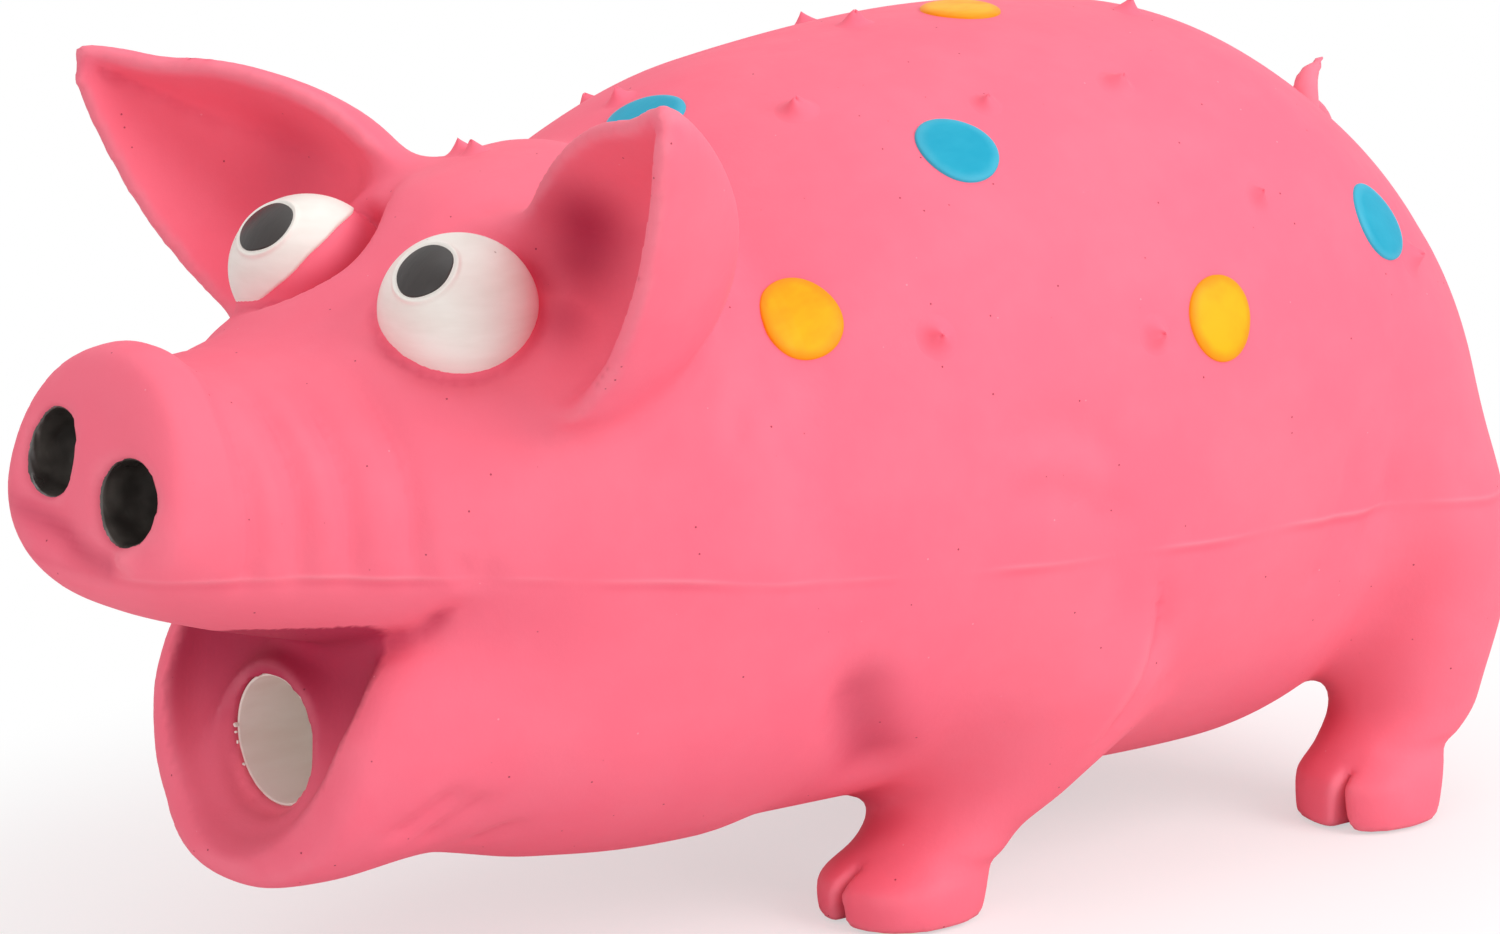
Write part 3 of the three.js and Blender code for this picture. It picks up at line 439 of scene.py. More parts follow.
def overlap(x, z):
    """Width of the fillet between the near front leg and the belly, which the leg's rear edge stands over."""
    return 6 - 4.8 * rise(x, 16, 24) * rise(z, 26, 33)


def near(axis, low, high):
    """The stretch of an axis between two places, as a slice."""
    return slice(int(np.searchsorted(axis, low)), int(np.searchsorted(axis, high)))


class Skin:
    """The toy's skin as a field on a grid of points: below zero inside, zero on the surface."""

    def __init__(self):
        self.axes = []
        for stops in GRID:
            parts = [np.arange(low, high, step) for (low, step), (high, _) in zip(stops, stops[1:])]
            self.axes.append(np.concatenate(parts))
        self.field = np.full([len(axis) for axis in self.axes], 40.0)
        self.join(slices(body_points, TORSO, 150, 120), BLEND["torso"])
        for name, leg in LEGS.items():
            self.join(slices(leg_points, leg, 90, 72), overlap if name == "front_left" else BLEND["leg"])
        self.join_head()
        self.field = smooth_most(self.field, -self.axes[2], BLEND["sole"])
        tail = curve(TAIL, 70)
        self.carve(lambda x, y, z, old: smooth_least(old, tube_field(tail, x, y, z), BLEND["tail"]),
                   (92, 121), (-14, 14), (72, 112))
        for cleft in CLEFTS:
            self.split_hoof(*cleft)
        self.fold()

    def carve(self, change, *stretches):
        """Changes the field over a stretch of each axis, which the change gets as it lies in the field."""
        part = tuple(near(axis, *stretch) for axis, stretch in zip(self.axes, stretches))
        axes = np.ix_(*(axis[over] for axis, over in zip(self.axes, part)))
        self.field[part] = change(*axes, self.field[part])

    def join(self, mesh, blend, growth=0):
        """Adds a closed mesh, swollen by the growth."""
        def add(x, y, z, old):
            width = blend(x, z) if callable(blend) else blend
            return smooth_least(old, mesh_field(mesh, x, y, z) - growth, width)

        self.carve(add, *zip(mesh[0].min(0) - 10, mesh[0].max(0) + 10))

    def join_head(self):
        """Adds skull, jaw, eye balls and ears, and cuts the mouth, the throat hole and the nostril pits."""
        def head(x, y, z, old):
            jaw = mesh_field(slices(body_points, JAW, 130, 100), x, y, z)
            jaw = smooth_most(jaw, -gape_field(x, z), BLEND["lips"])
            jaw = smooth_most(jaw, -mesh_field(slices(body_points, DISH, 90, 80), x, y, z), BLEND["dish"])
            skull = mesh_field(slices(body_points, HEAD, 160, 110), x, y, z)
            skull = smooth_least(skull, jaw, 4 + 5 * rise(x, -82, -66))
            for side in SIDES:
                socket = ball_field(np.add(EYES[side], SOCKETS[side]), SOCKET_RADII, x, y, z)
                skull = smooth_most(skull, -socket, BLEND["socket"])
                ball = ball_field(EYES[side], EYE_RADII - 0.15, x, y, z)
                skull = smooth_least(skull, ball, BLEND["eye"])
            ring, back = throat_place(x, y, z)
            length = np.maximum(-THROAT["proud"] - back, back - THROAT["boss_length"])
            skull = smooth_least(skull, np.maximum(ring - THROAT["boss"], length), BLEND["boss"])
            return smooth_least(old, skull, BLEND["head"])

        def holes(x, y, z, old):
            ring, back = throat_place(x, y, z)
            turn = np.arctan2(z - THROAT["lip"][2], y)
            ragged = 0.22 * (np.sin(3 * turn + 1) + 0.7 * np.sin(7 * turn + 2) + 0.6 * np.sin(13 * turn + 4))
            mouth = np.maximum(ring - THROAT["hole"] - ragged, back - THROAT["depth"] - 1)
            seat = np.maximum(ring - THROAT["seat"], back + THROAT["proud"])
            length = np.maximum(THROAT["depth"] - back, back - THROAT["length"])
            tube = np.maximum(ring - THROAT["tube"], length)
            old = smooth_most(old, -seat, BLEND["seat"])
            return smooth_most(old, -np.minimum(mouth, tube), BLEND["hole"])

        def pits(x, y, z, old):
            for side in SIDES:
                pit = ball_field(nostril_centre(side), NOSTRIL["radii"], x, y, z)
                old = smooth_most(old, -pit, BLEND["pit"])
            return old

        self.carve(head, (-121, -5), (-66, 66), (0, 130))
        for side in SIDES:
            self.join(capped(ear_points(side, np.linspace(0, 1, 70), 41)), BLEND["ear"], EAR["rim"])
        self.carve(holes, (-121, -40), (-14, 14), (20, 52))
        self.carve(pits, (-121, -95), (-24, 20), (60, 92))

    def split_hoof(self, front, across, top):
        """Wedge cut into the front of a hoof, 8 mm long and widest at the ground."""
        def cut(x, y, z, old):
            wedge = np.maximum(np.abs(y - across) - 1.15 * (1 - z / top), x - front - 8)
            return smooth_most(old, -wedge, BLEND["cleft"])

        self.carve(cut, (front - 4, front + 12), (across - 5, across + 5), (-4, top + 2))

    def press(self, depth, width, line):
        """Groove along a line laid on the skin, or a ridge for a depth below zero, fading out at both ends."""
        path = self.settle(curve(line, 60), 6)
        share = np.linspace(0, 1, len(path))
        depths = depth * rise(np.minimum(share, 1 - share), 0, 0.25)
        more = np.maximum if depth > 0 else np.minimum

        def cut(x, y, z, old):
            groove = np.zeros_like(old)
            for place, deep in zip(path, depths):
                groove = more(groove, deep * np.exp(-squared(place, x, y, z) / width ** 2))
            return old + groove

        self.carve(cut, *zip(path.min(0) - 3 * width, path.max(0) + 3 * width))

    def fold(self):
        """Grooves round the snout, and the folds on both sides."""
        def rings(x, y, z, old):
            bands = sum(np.exp(-((x - place) / 1.5) ** 2) for place in SNOUT_RINGS)
            return old + 1.2 * bands * (rise(z, 61, 68) * (1 - rise(z, 82, 92)))

        self.carve(rings, (-107, -75), (-30, 30), (58, 96))
        for depth, width, line in SIDE_FOLDS:
            self.press(depth, width, line)
            self.press(depth, width, [(x, -y, z) for x, y, z in line])
        for fold in SINGLE_FOLDS:
            self.press(*fold)

    def sample(self, points):
        """Field and its slope at points, by weighing the eight grid points round each."""
        value, slope = np.zeros(len(points)), np.zeros((len(points), 3))
        places = [np.interp(points[:, k], axis, np.arange(len(axis))) for k, axis in enumerate(self.axes)]
        base = [np.minimum(p.astype(int), n - 2) for p, n in zip(places, self.field.shape)]
        part = [p - b for p, b in zip(places, base)]
        size = [np.diff(axis)[b] for axis, b in zip(self.axes, base)]
        for corner in np.ndindex(2, 2, 2):
            f = self.field[tuple(b + c for b, c in zip(base, corner))]
            w = [part[k] if corner[k] else 1 - part[k] for k in range(3)]
            value += f * w[0] * w[1] * w[2]
            for k, (i, j) in enumerate(((1, 2), (0, 2), (0, 1))):
                slope[:, k] += f * (1 if corner[k] else -1) * w[i] * w[j] / size[k]
        return value, slope

    def settle(self, points, rounds):
        """Points moved along the field's slope until they lie on the surface."""
        for _ in range(rounds):
            value, slope = self.sample(points)
            points = points - slope * (value / np.maximum((slope ** 2).sum(1), 1e-6))[:, None]
        return points

    def surface(self):
        """Dual mesh of the field: a point in each cell the surface crosses, a face on each crossed edge."""
        inside = self.field < 0
        corners = list(np.ndindex(2, 2, 2))
        cells = [n - 1 for n in inside.shape]
        count = sum(inside[tuple(slice(c, c + n) for c, n in zip(corner, cells))].astype(np.int8)
                    for corner in corners)
        index = np.full(cells, -1)
        cells = np.argwhere((count > 0) & (count < 8))
        index[tuple(cells.T)] = np.arange(len(cells))
        values = {corner: self.field[tuple((cells + corner).T)] for corner in corners}
        total, hits = np.zeros((len(cells), 3)), np.zeros(len(cells))
        for near_end in corners:
            for k in (k for k in range(3) if not near_end[k]):
                a, b = values[near_end], values[tuple(1 if j == k else near_end[j] for j in range(3))]
                cross = (a < 0) != (b < 0)
                point = np.tile(np.array(near_end, float), (len(cells), 1))
                point[:, k] += np.where(cross, a / np.where(cross, a - b, 1), 0)
                total += np.where(cross[:, None], point, 0)
                hits += cross
        local = cells + total / hits[:, None]
        points = [np.interp(place, np.arange(len(axis)), axis) for place, axis in zip(local.T, self.axes)]
        faces = []
        for k in range(3):
            low, high = (tuple(part if j == k else slice(1, -1) for j in range(3))
                         for part in (slice(0, -1), slice(1, None)))
            change = inside[low] != inside[high]
            at = np.argwhere(change) + [0 if j == k else 1 for j in range(3)]
            i, j = np.delete(np.eye(3, dtype=int), k, 0)
            quads = np.stack([index[tuple((at - back).T)] for back in (i + j, j, 0 * i, i)], 1)
            turned = inside[low][change] == (k == 1)
            quads[turned] = quads[turned, ::-1]
            faces.append(quads)
        return np.stack(points, 1), np.concatenate(faces)


def nostril_centre(side):
    """Middle of the ellipsoid that a nostril's pit is cut with."""
    x, y, z = NOSTRIL["centre"]
    return x, side * y - NOSTRIL["shift"], z + side * NOSTRIL["drop"]


def smoothed(points, faces, rounds):
    """Each point moved half way to the middle of its neighbours along the faces' edges."""
    a = faces.ravel()
    b = np.roll(faces, -1, axis=1).ravel()
    count = np.bincount(a, minlength=len(points)) + np.bincount(b, minlength=len(points))
    for _ in range(rounds):
        middle = np.stack([np.bincount(a, values[b], len(points)) + np.bincount(b, values[a], len(points))
                           for values in points.T], 1) / count[:, None]
        points = points + 0.5 * (middle - points)
    return points


def new_object(name, points, faces):
    """A mesh object from points in millimetres and faces."""
    mesh = bpy.data.meshes.new(name)
    mesh.from_pydata((np.asarray(points) * MM).tolist(), [], [list(map(int, face)) for face in faces])
    thing = bpy.data.objects.new(name, mesh)
    bpy.context.scene.collection.objects.link(thing)
    return thing


def piece(name, mesh, nodes, finish):
    """A smooth object that rides on the pig and stands for CAD nodes."""
    thing = new_object(name, *mesh)
    thing.data.polygons.foreach_set("use_smooth", np.full(len(thing.data.polygons), True))
    thing.data.validate()
    thing.data.update()
    thing.data.materials.append(finish)
    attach(thing, "pig")
    if nodes:
        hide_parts(*nodes)
    return thing


def grid_faces(rows, cols):
    """Quads of a grid of rows by cols points, with the last column joined to the first."""
    row = np.arange(rows - 1)[:, None] * cols
    c = np.arange(cols)[None, :]
    following = (c + 1) % cols
    return np.stack([row + c, row + following, row + cols + following, row + cols + c], -1).reshape(-1, 4)


def mark(thing, **values):
    """Numbers kept at a piece's points for its finish to read."""
    for name, numbers in values.items():
        kept = thing.data.attributes.new(name, "FLOAT", "POINT")
        kept.data.foreach_set("value", np.ravel(numbers).astype(np.float32))


def unit(vectors):
    """Vectors drawn to length one."""
    return vectors / np.linalg.norm(vectors, axis=-1, keepdims=True)


def square_to(direction):
    """Two unit vectors square to a direction and to each other."""
    first = unit(np.cross(direction, (0, 0, 1) if abs(direction[2]) < 0.9 else (1, 0, 0)))
    return first, np.cross(direction, first)


def turns(count):
    """Evenly spaced turns round a circle."""
    return np.arange(count) / count * 2 * np.pi


def leaning(look, lean, turn):
    """Unit vectors about a line of sight: look cos(lean) + (first cos(turn) + second sin(turn)) sin(lean)."""
    first, second = square_to(look)
    return np.cos(lean) * look + np.sin(lean) * (np.cos(turn) * first + np.sin(turn) * second)


def round_patch(rings):
    """Points and faces of rings of points about a middle one, facing the way the rings turn about."""
    rows, cols = rings.shape[:2]
    points = np.concatenate([rings.reshape(-1, 3), rings[:1].mean(1)])
    around = np.arange(cols)
    fan = np.stack([around, (around + 1) % cols, 0 * around + rows * cols], 1)
    return points, grid_faces(rows, cols)[:, ::-1].tolist() + fan.tolist()


def merged(parts):
    """Points and faces of several meshes taken as one."""
    starts = np.cumsum([0] + [len(points) for points, _ in parts])
    faces = [[i + start for i in face] for (_, faces), start in zip(parts, starts) for face in faces]
    return np.concatenate([points for points, _ in parts]), faces


skin_shape = Skin()
skin_points, skin_faces = skin_shape.surface()
skin_points = smoothed(skin_points, skin_faces, 2)
skin_points = skin_shape.settle(skin_points, 3)
skin_points = smoothed(skin_points, skin_faces, 2)
NINE_SHELLS = ["torso", "head", *("leg_" + name for name in LEGS), "ear_left", "ear_right", "tail"]
skin_tree = BVHTree.FromPolygons(skin_points.tolist(), skin_faces.tolist())


def hollows(points):
    """How deep in a hollow each place lies, by what stands 5 and 9 mm over it, and how sharp its edge is: what
    the skin's painted shade in hollows and creases is drawn from.
    """
    out = unit(skin_shape.sample(points)[1])
    deep = sum(1 - np.clip(skin_shape.sample(points + reach * out)[0] / reach, 0, 1) for reach in (5, 9)) / 2
    deep = smoothed(np.clip(deep, 0, 1)[:, None], skin_faces, 10)[:, 0]
    edge = ((points - smoothed(points, skin_faces, 3)) * out).sum(1, keepdims=True)
    return deep, smoothed(edge, skin_faces, 1)[:, 0]


def shaded(points):
    """How much painted shade each place gets: the places in SHADES, and the inside of the mouth, more so
    towards its roof.
    """
    deep = np.zeros(len(points))
    for reach, tall, amount, line in SHADES:
        spots = curve(line, 24) if len(line) > 1 else line
        apart = np.min([(((points - spot) / (1, 1, tall)) ** 2).sum(1) for spot in spots], 0)
        deep = np.maximum(deep, amount * np.exp(-apart / reach ** 2))
    dish, faces = slices(body_points, DISH, 60, 60)
    tree = BVHTree.FromPolygons(dish.tolist(), faces)
    x, y, z = points.T
    near_mouth = np.flatnonzero((x > -98) & (x < -70) & (abs(y) < 23) & (z > 20) & (z < 56))
    found = [tree.find_nearest(p) for p in points[near_mouth].tolist()]
    away = ((points[near_mouth] - [f[0] for f in found]) * [f[1] for f in found]).sum(1)
    inside = (1 - rise(away, 0.5, 1.5)) * (0.18 + 0.82 * rise(z[near_mouth], 27, 47))
    deep[near_mouth] = np.maximum(deep[near_mouth], inside)
    return deep


def on_eye(side, lean, turn):
    """Unit vectors from the eye's centre, leaning away from where it looks, and the ball's radius there."""
    way = leaning(unit(np.array(PUPILS[side])), lean, turn)
    return way, 1 / np.sqrt(((way / EYE_RADII) ** 2).sum(-1, keepdims=True))


def eye_white(side, finish):
    """Thin cap over the ball: distance from the centre is the ball's radius, plus a low ridge round the
    pupil, less a drop under the skin where the paint ends."""
    lean = np.concatenate([np.linspace(0.02, 0.34, 9), np.linspace(0.36, 0.6, 28), np.linspace(0.63, 2.7, 90)])
    lean, turn = lean[:, None, None], turns(140)[None, :, None]
    way, radius = on_eye(side, lean, turn)
    wobble = 0.1 * np.sin(3 * turn + side) + 0.06 * np.sin(8 * turn)
    ridge = 0.3 * np.exp(-((lean - 0.46) / 0.034) ** 2)
    beyond = (way * radius * WHITE_EDGE).sum(-1, keepdims=True) + WHITE_EDGE_AWAY - wobble
    drop = 1.3 * rise(beyond, 0, 0.7) if side > 0 else 0
    lift = 0.12 + ridge - drop - 1.2 * rise(lean, 2.45, 2.7)
    mesh = round_patch(np.array(EYES[side]) + way * (radius + lift))
    piece("eye_white_" + SIDES[side], mesh, ["eye_" + SIDES[side]], finish)


def pupil(side, finish):
    """Slightly domed disc of paint inside the ridge, with a wavering edge that drops under the white."""
    share = np.concatenate([np.linspace(0.03, 0.9, 22), np.linspace(0.92, 1.02, 9)])[:, None, None]
    turn = turns(120)[None, :, None]
    edge = np.arcsin(PUPIL_RADII[side] / EYE_RADII[0])
    edge = edge * (1 + 0.025 * np.sin(2 * turn + side) + 0.012 * np.sin(5 * turn + 1))
    way, radius = on_eye(side, share * edge, turn)
    lift = 0.3 - 0.34 * rise(share, 0.93, 1.02)
    mesh = round_patch(np.array(EYES[side]) + way * (radius + lift))
    piece("pupil_paint_" + SIDES[side], mesh, ["pupil_" + SIDES[side]], finish)


def nostril(side, finish):
    """Coat of paint in the pit: where each way out from the pit's middle meets the skin, up to the rim."""
    centre = nostril_centre(side)
    turn = turns(110)[None, :]

    def ways(lean):
        return leaning(np.array((1.0, 0, 0)), lean[..., None], (turn + 0 * lean)[..., None])

    def reach(way):
        met = [skin_tree.ray_cast(centre, w, 14)[3] for w in way.reshape(-1, 3).tolist()]
        return np.array([np.nan if far is None else far for far in met]).reshape(way.shape[:-1])

    trial = np.linspace(0.9, 2.5, 160)
    open_at = np.isnan(reach(ways(trial[:, None] + 0 * turn)))
    rim = trial[np.where(open_at.any(0), np.argmax(open_at, 0), len(trial)) - 1]
    rim = np.minimum(np.mean([np.roll(rim, step) for step in range(-5, 6)], 0), rim) - 0.04
    share = np.linspace(0.02, 1, 60)[:, None]
    way = ways(share * rim[None, :])
    far = reach(way)
    far = np.where(np.isnan(far), np.nanmax(far, 0), far) - 0.14 + 0.5 * rise(share, 0.985, 1)
    points, faces = round_patch(centre + way * far[..., None])
    mesh = points, [face[::-1] for face in faces]
    piece("nostril_paint_" + SIDES[side], mesh, ["nostril_" + SIDES[side]], finish)


def laid_on_skin(place, far, turn):
    """Places on the skin at distances from a middle one, the way out at each, and two unit vectors across."""
    middle = skin_shape.settle(np.array([place], float), 8)[0]
    first, second = square_to(unit(skin_shape.sample(middle[None])[1][0]))
    flat = middle + far * (np.cos(turn) * first + np.sin(turn) * second)
    laid = skin_shape.settle(flat.reshape(-1, 3), 5)
    outward = unit(skin_shape.sample(laid)[1])
    return laid.reshape(flat.shape), outward.reshape(flat.shape), first, second


def dot(name, place, waver, finish):
    """Raised dot laid on the skin: a flat dome with a rounded edge, a little out of round."""
    share = np.concatenate([np.linspace(0.03, 0.8, 14), np.linspace(0.83, 1, 14)])[:, None, None]
    turn = turns(90)[None, :, None]
    radius = DOT_RADIUS * (1 + 0.035 * np.cos(2 * turn + waver) + 0.02 * np.cos(3 * turn + 2 * waver))
    laid, outward, _, _ = laid_on_skin(place, share * radius, turn)
    height = 0.62 * np.sqrt(np.clip(1.0 - share ** 7, 0, 1)) - 0.2 * rise(share, 0.985, 1) + 0.04
    slot = name.split("_")[0] + "_paint"
    thing = piece("dot_" + name, round_patch(laid + outward * height), ["spot_" + name], finish)
    mark(thing, rim=np.append((share + 0 * turn).ravel(), 0))


def bumps(finish):
    """Pointed bumps whose feet run out into the skin: height falls off as a power of e with the distance."""
    far = np.concatenate([np.linspace(0.05, 1.2, 9), np.linspace(1.4, 3.9, 14)])[:, None, None]
    turn = turns(36)[None, :, None]
    parts = []
    for k, place in enumerate(BUMPS):
        size = 0.85 + 0.3 * ((k * 0.618) % 1)
        laid, outward, first, second = laid_on_skin(place, far * size, turn)
        height = (1.95 * np.exp(-(far / 1.5) ** 1.8) * (1 + 0.12 * np.cos(2 * turn + k)) - 0.1) * size
        bend = 0.25 * np.exp(-(far / 0.9) ** 2) * (np.cos(k * 2.4) * first + np.sin(k * 2.4) * second)
        parts.append(round_patch(laid + outward * height + bend))
    piece("pointed_bumps", merged(parts), (), finish)


def sleeve(finish):
    """Moulded plastic tube of the sounder: a profile of places along X and radii, with a rounded mouth, a bore
    that narrows and a rounded back rim, turned about the throat's axis."""
    front, back = -82.4, -46.8
    mouth = [(front + 0.23 * (1 - np.sin(a)), 8.76 + 0.23 * np.cos(a)) for a in np.linspace(0, np.pi, 9)]
    end = [(back - 0.4 * (1 - np.sin(a)), 8.35 - 0.62 * np.cos(a)) for a in np.linspace(0, np.pi, 7)]
    profile = mouth + [(front + 1.6, 8.45), (front + 6, 8.2), (front + 12, 7.8), (back - 2, 7.8)] + end
    profile += [(back - 6, 8.98), (front + 6, 8.98)]
    turn = turns(96)[None, :]
    along, radius = (np.array(values)[:, None] + 0 * turn for values in zip(*profile))
    rings = np.stack([along, radius * np.cos(turn), THROAT["lip"][2] + radius * np.sin(turn)], -1)
    points = rings.reshape(-1, 3)
    faces = grid_faces(len(profile) + 1, turn.size) % len(points)
    piece("sounder_sleeve", (points, faces), ["sounder_tube"], finish)


def crumbs(finish):
    """Crumbs of dried latex left on the lip of the throat hole: small balls with lumpy sides."""
    lean, turn = np.linspace(0.12, np.pi - 0.12, 9)[:, None], turns(14)[None, :]
    parts = []
    for k, (angle, size) in enumerate(CRUMBS):
        lumps = 0.35 * np.sin(2 * turn + 2.3 * k) * np.sin(lean)
        radius = size * (1 + lumps + 0.3 * np.cos(2 * lean + 1.7 * k))
        out = radius * np.sin(lean)
        ball = np.stack([radius * np.cos(lean), out * np.cos(turn), out * np.sin(turn)], -1)
        lip = np.array(THROAT["lip"]) + (0.25, 8.1 * np.cos(angle), 8.1 * np.sin(angle))
        parts.append(capped(ball + lip))
    piece("lip_crumbs", merged(parts), (), finish)


class Value:
    """A number socket that can be used in expressions: each operator adds a Math node."""

    def __init__(self, nodes, socket):
        self.nodes, self.socket = nodes, socket

    def math(self, operation, *others):
        return self.nodes.node("ShaderNodeMath", {"operation": operation}, [self, *others])

    def __add__(self, other):
        return self.math("ADD", other)

    __radd__ = __add__

    def __sub__(self, other):
        return self.math("SUBTRACT", other)

    def __rsub__(self, other):
        return self.nodes.node("ShaderNodeMath", {"operation": "SUBTRACT"}, [other, self])

    def __mul__(self, other):
        return self.math("MULTIPLY", other)

    __rmul__ = __mul__

    def __truediv__(self, other):
        return self.math("DIVIDE", other)

    def __pow__(self, other):
        return self.math("POWER", other)

    def __neg__(self):
        return self * -1

    def step(self, low, high):
        """Smooth rise from 0 to 1 between two values."""
        smooth = {"interpolation_type": "SMOOTHSTEP"}
        return self.nodes.node("ShaderNodeMapRange", smooth, [self, low, high, 0.0, 1.0])


class Nodes:
    """A tree of shader nodes."""

    def __init__(self, tree):
        self.tree = tree

    def put(self, socket, value):
        """Sets a socket to a constant, or links a value to it."""
        if isinstance(value, Value):
            self.tree.links.new(value.socket, socket)
        else:
            socket.default_value = (*value, 1) if socket.type == "RGBA" and len(value) == 3 else value

    def node(self, kind, settings, values=(), output=0):
        """A node's output, or a list of outputs where a tuple names them."""
        made = self.tree.nodes.new(kind)
        for key, value in settings.items():
            setattr(made, key, value)
        for key, value in values.items() if isinstance(values, dict) else enumerate(values):
            self.put(made.inputs[key], value)
        if isinstance(output, tuple):
            return [Value(self, made.outputs[key]) for key in output]
        return Value(self, made.outputs[output])


class Finish(Nodes):
    """A material with one glossy-to-matt surface shader, and the nodes that feed it."""

    def __init__(self, name, shine, **constants):
        self.material = bpy.data.materials.new(name)
        self.material.use_nodes = True
        super().__init__(self.material.node_tree)
        self.surface = self.tree.nodes["Principled BSDF"]
        self.feed(specular_ior_level=shine, **constants)
        self.place = self.node("ShaderNodeTexCoord", {}, output="Object")

    def read(self, name):
        """A number kept at the piece's points."""
        return self.node("ShaderNodeAttribute", {"attribute_name": name}, output="Fac")

    def bell(self, value, width):
        """One at zero, falling off to both sides over a width."""
        return self.node("ShaderNodeMath", {"operation": "EXPONENT"}, [(value * (1 / width)) ** 2 * -1.0])

    def cells(self, scale):
        """Distance to the nearest of scattered seeds, and that seed's own colour."""
        sockets = {"Vector": self.place, "Scale": scale}
        return self.node("ShaderNodeTexVoronoi", {}, sockets, ("Distance", "Color"))

    def split(self, vector):
        return self.node("ShaderNodeSeparateXYZ", {}, [vector], (0, 1, 2))

    def noise(self, scale, detail=2.0, roughness=0.5, squeeze=None):
        """Cloudy noise, squeezed along each axis by a factor where one is given."""
        place = self.place
        if squeeze:
            place = self.node("ShaderNodeVectorMath", {"operation": "MULTIPLY"}, [place, squeeze])
        sockets = {"Vector": place, "Scale": scale, "Detail": detail, "Roughness": roughness}
        return self.node("ShaderNodeTexNoise", {}, sockets)

    def mix(self, factor, a, b):
        return self.node("ShaderNodeMix", {"data_type": "RGBA"}, {0: factor, 6: a, 7: b}, 2)

    def feed(self, **sockets):
        """Values for the surface shader's sockets, by name."""
        for key, value in sockets.items():
            self.put(self.surface.inputs[key.replace("_", " ").title().replace("Ior", "IOR")], value)
        return self.material

    def coated(self, colour, roughness, height, strength=0.6, **others):
        """Feeds colour, roughness and a relief given in metres."""
        relief = self.node("ShaderNodeBump", {}, {"Strength": strength, "Distance": 1.0, "Height": height})
        return self.feed(base_color=colour, roughness=roughness, normal=relief, **others)


def srgb(red, green, blue):
    """Linear colour of a colour given as it shows, out of 255."""
    shares = np.array([red, green, blue]) / 255
    return tuple(np.where(shares > 0.04045, ((shares + 0.055) / 1.055) ** 2.4, shares / 12.92).tolist())


def matt_pink_latex():
    """Matt pink latex with painted shade: darker crimson in its hollows and creases and deeper red in the ear
    cups, the pocket before the near leg and the mouth. It is paler on its edges, with faint mottling, tiny
    dark and pale specks, the mould's seam line along both flanks with a thin painted shade under it, and the
    fine grain of a dipped skin."""
    finish = Finish("matt_pink_latex", 0.15)
    x, y, z = finish.split(finish.place)
    hollow, edge, shade = (finish.read(name) for name in ("hollow", "edge", "shade"))
    broad = finish.noise(16).step(0.35, 0.68)
    cloudy = finish.noise(70, 3, 0.6).step(0.35, 0.75)
    colour = finish.mix(broad, PINK, PINK_WARM)
    colour = finish.mix(cloudy * 0.35, colour, PINK_PALE)
    # Painted shade: darker crimson where the skin lies deep in a hollow, from the hollow attribute.
    colour = finish.mix(hollow.step(0.4, 1.0) * 0.5, colour, CRIMSON)
    # Painted shade: deeper red in the ear cups, the pocket in front of the near leg, the nose and mouth
    # creases and inside the mouth.
    colour = finish.mix(shade * 0.9, colour, PAINTED_SHADE_RED)
    colour = finish.mix(edge.step(0.05, 0.2) * 0.25, colour, PINK_EDGE)
    # Painted shade: darker crimson along creases.
    colour = finish.mix((-edge).step(0.04, 0.2) * 0.4, colour, CRIMSON)

    wander = (finish.noise(40, 1) - 0.5) * 0.0016
    line = z + x * 0.08 - 0.057 + finish.bell(x + 0.005, 0.045) * 0.0018 + wander
    worn = finish.noise(55, 1).step(0.3, 0.75)
    seam = finish.bell(line, 0.00034) * worn * y.math("ABSOLUTE").step(0.008, 0.014)
    # A thin darker line just under the seam: painted shade below its ridge.
    seam_shade = finish.bell(line + 0.0008, 0.0006) * worn
    colour = finish.mix(seam * 0.3, colour, PINK_EDGE)
    colour = finish.mix(seam_shade * 0.22, colour, CRIMSON)

    cell, tint = finish.cells(330)
    pick = finish.split(tint)
    speck = 1 - cell.step(0.03, 0.06)
    dark = speck * pick[0].step(0.45, 0.46)
    pale = speck * (1 - pick[0].step(0.12, 0.13))
    colour = finish.mix(dark * 0.75, colour, SPECK)
    colour = finish.mix(pale * 0.6, colour, PINK_EDGE)

    grain = finish.noise(1500, 2, 0.6)
    ripple = finish.noise(130)
    height = grain * 0.00004 + ripple * 0.00022 + seam * 0.00012 - dark * 0.0001
    roughness = finish.noise(300) * 0.14 + 0.55
    return finish.coated(colour, roughness, height, 0.7)


def white_eye_paint():
    """Satin off-white paint with faint streaks, a faint blush of pink in scattered patches, and a few pits."""
    finish = Finish("white_eye_paint", 0.4)
    streaks = finish.noise(90, 3, 0.6, (1, 1, 4))
    colour = finish.mix(streaks.step(0.3, 0.75), srgb(250, 245, 238), srgb(243, 236, 228))
    blush = finish.noise(60, 1).step(0.62, 0.8)
    colour = finish.mix(blush * 0.15, colour, srgb(244, 206, 204))
    cell, _ = finish.cells(260)
    pit = 1 - cell.step(0.03, 0.055)
    colour = finish.mix(pit * 0.6, colour, srgb(150, 120, 112))
    height = finish.noise(160, 3) * 0.00016 + finish.noise(1200) * 0.00002 - pit * 0.0001
    return finish.coated(colour, streaks * 0.2 + 0.36, height)


def black_eye_paint():
    """Soft-sheened near-black paint, brushed on unevenly."""
    finish = Finish("black_eye_paint", 0.5)
    strokes = finish.noise(220, 3, 0.6, (1, 3, 1))
    colour = finish.mix(strokes, srgb(34, 29, 28), srgb(56, 50, 48))
    height = strokes * 0.00012 + finish.noise(900) * 0.00003
    return finish.coated(colour, strokes * 0.25 + 0.3, height)


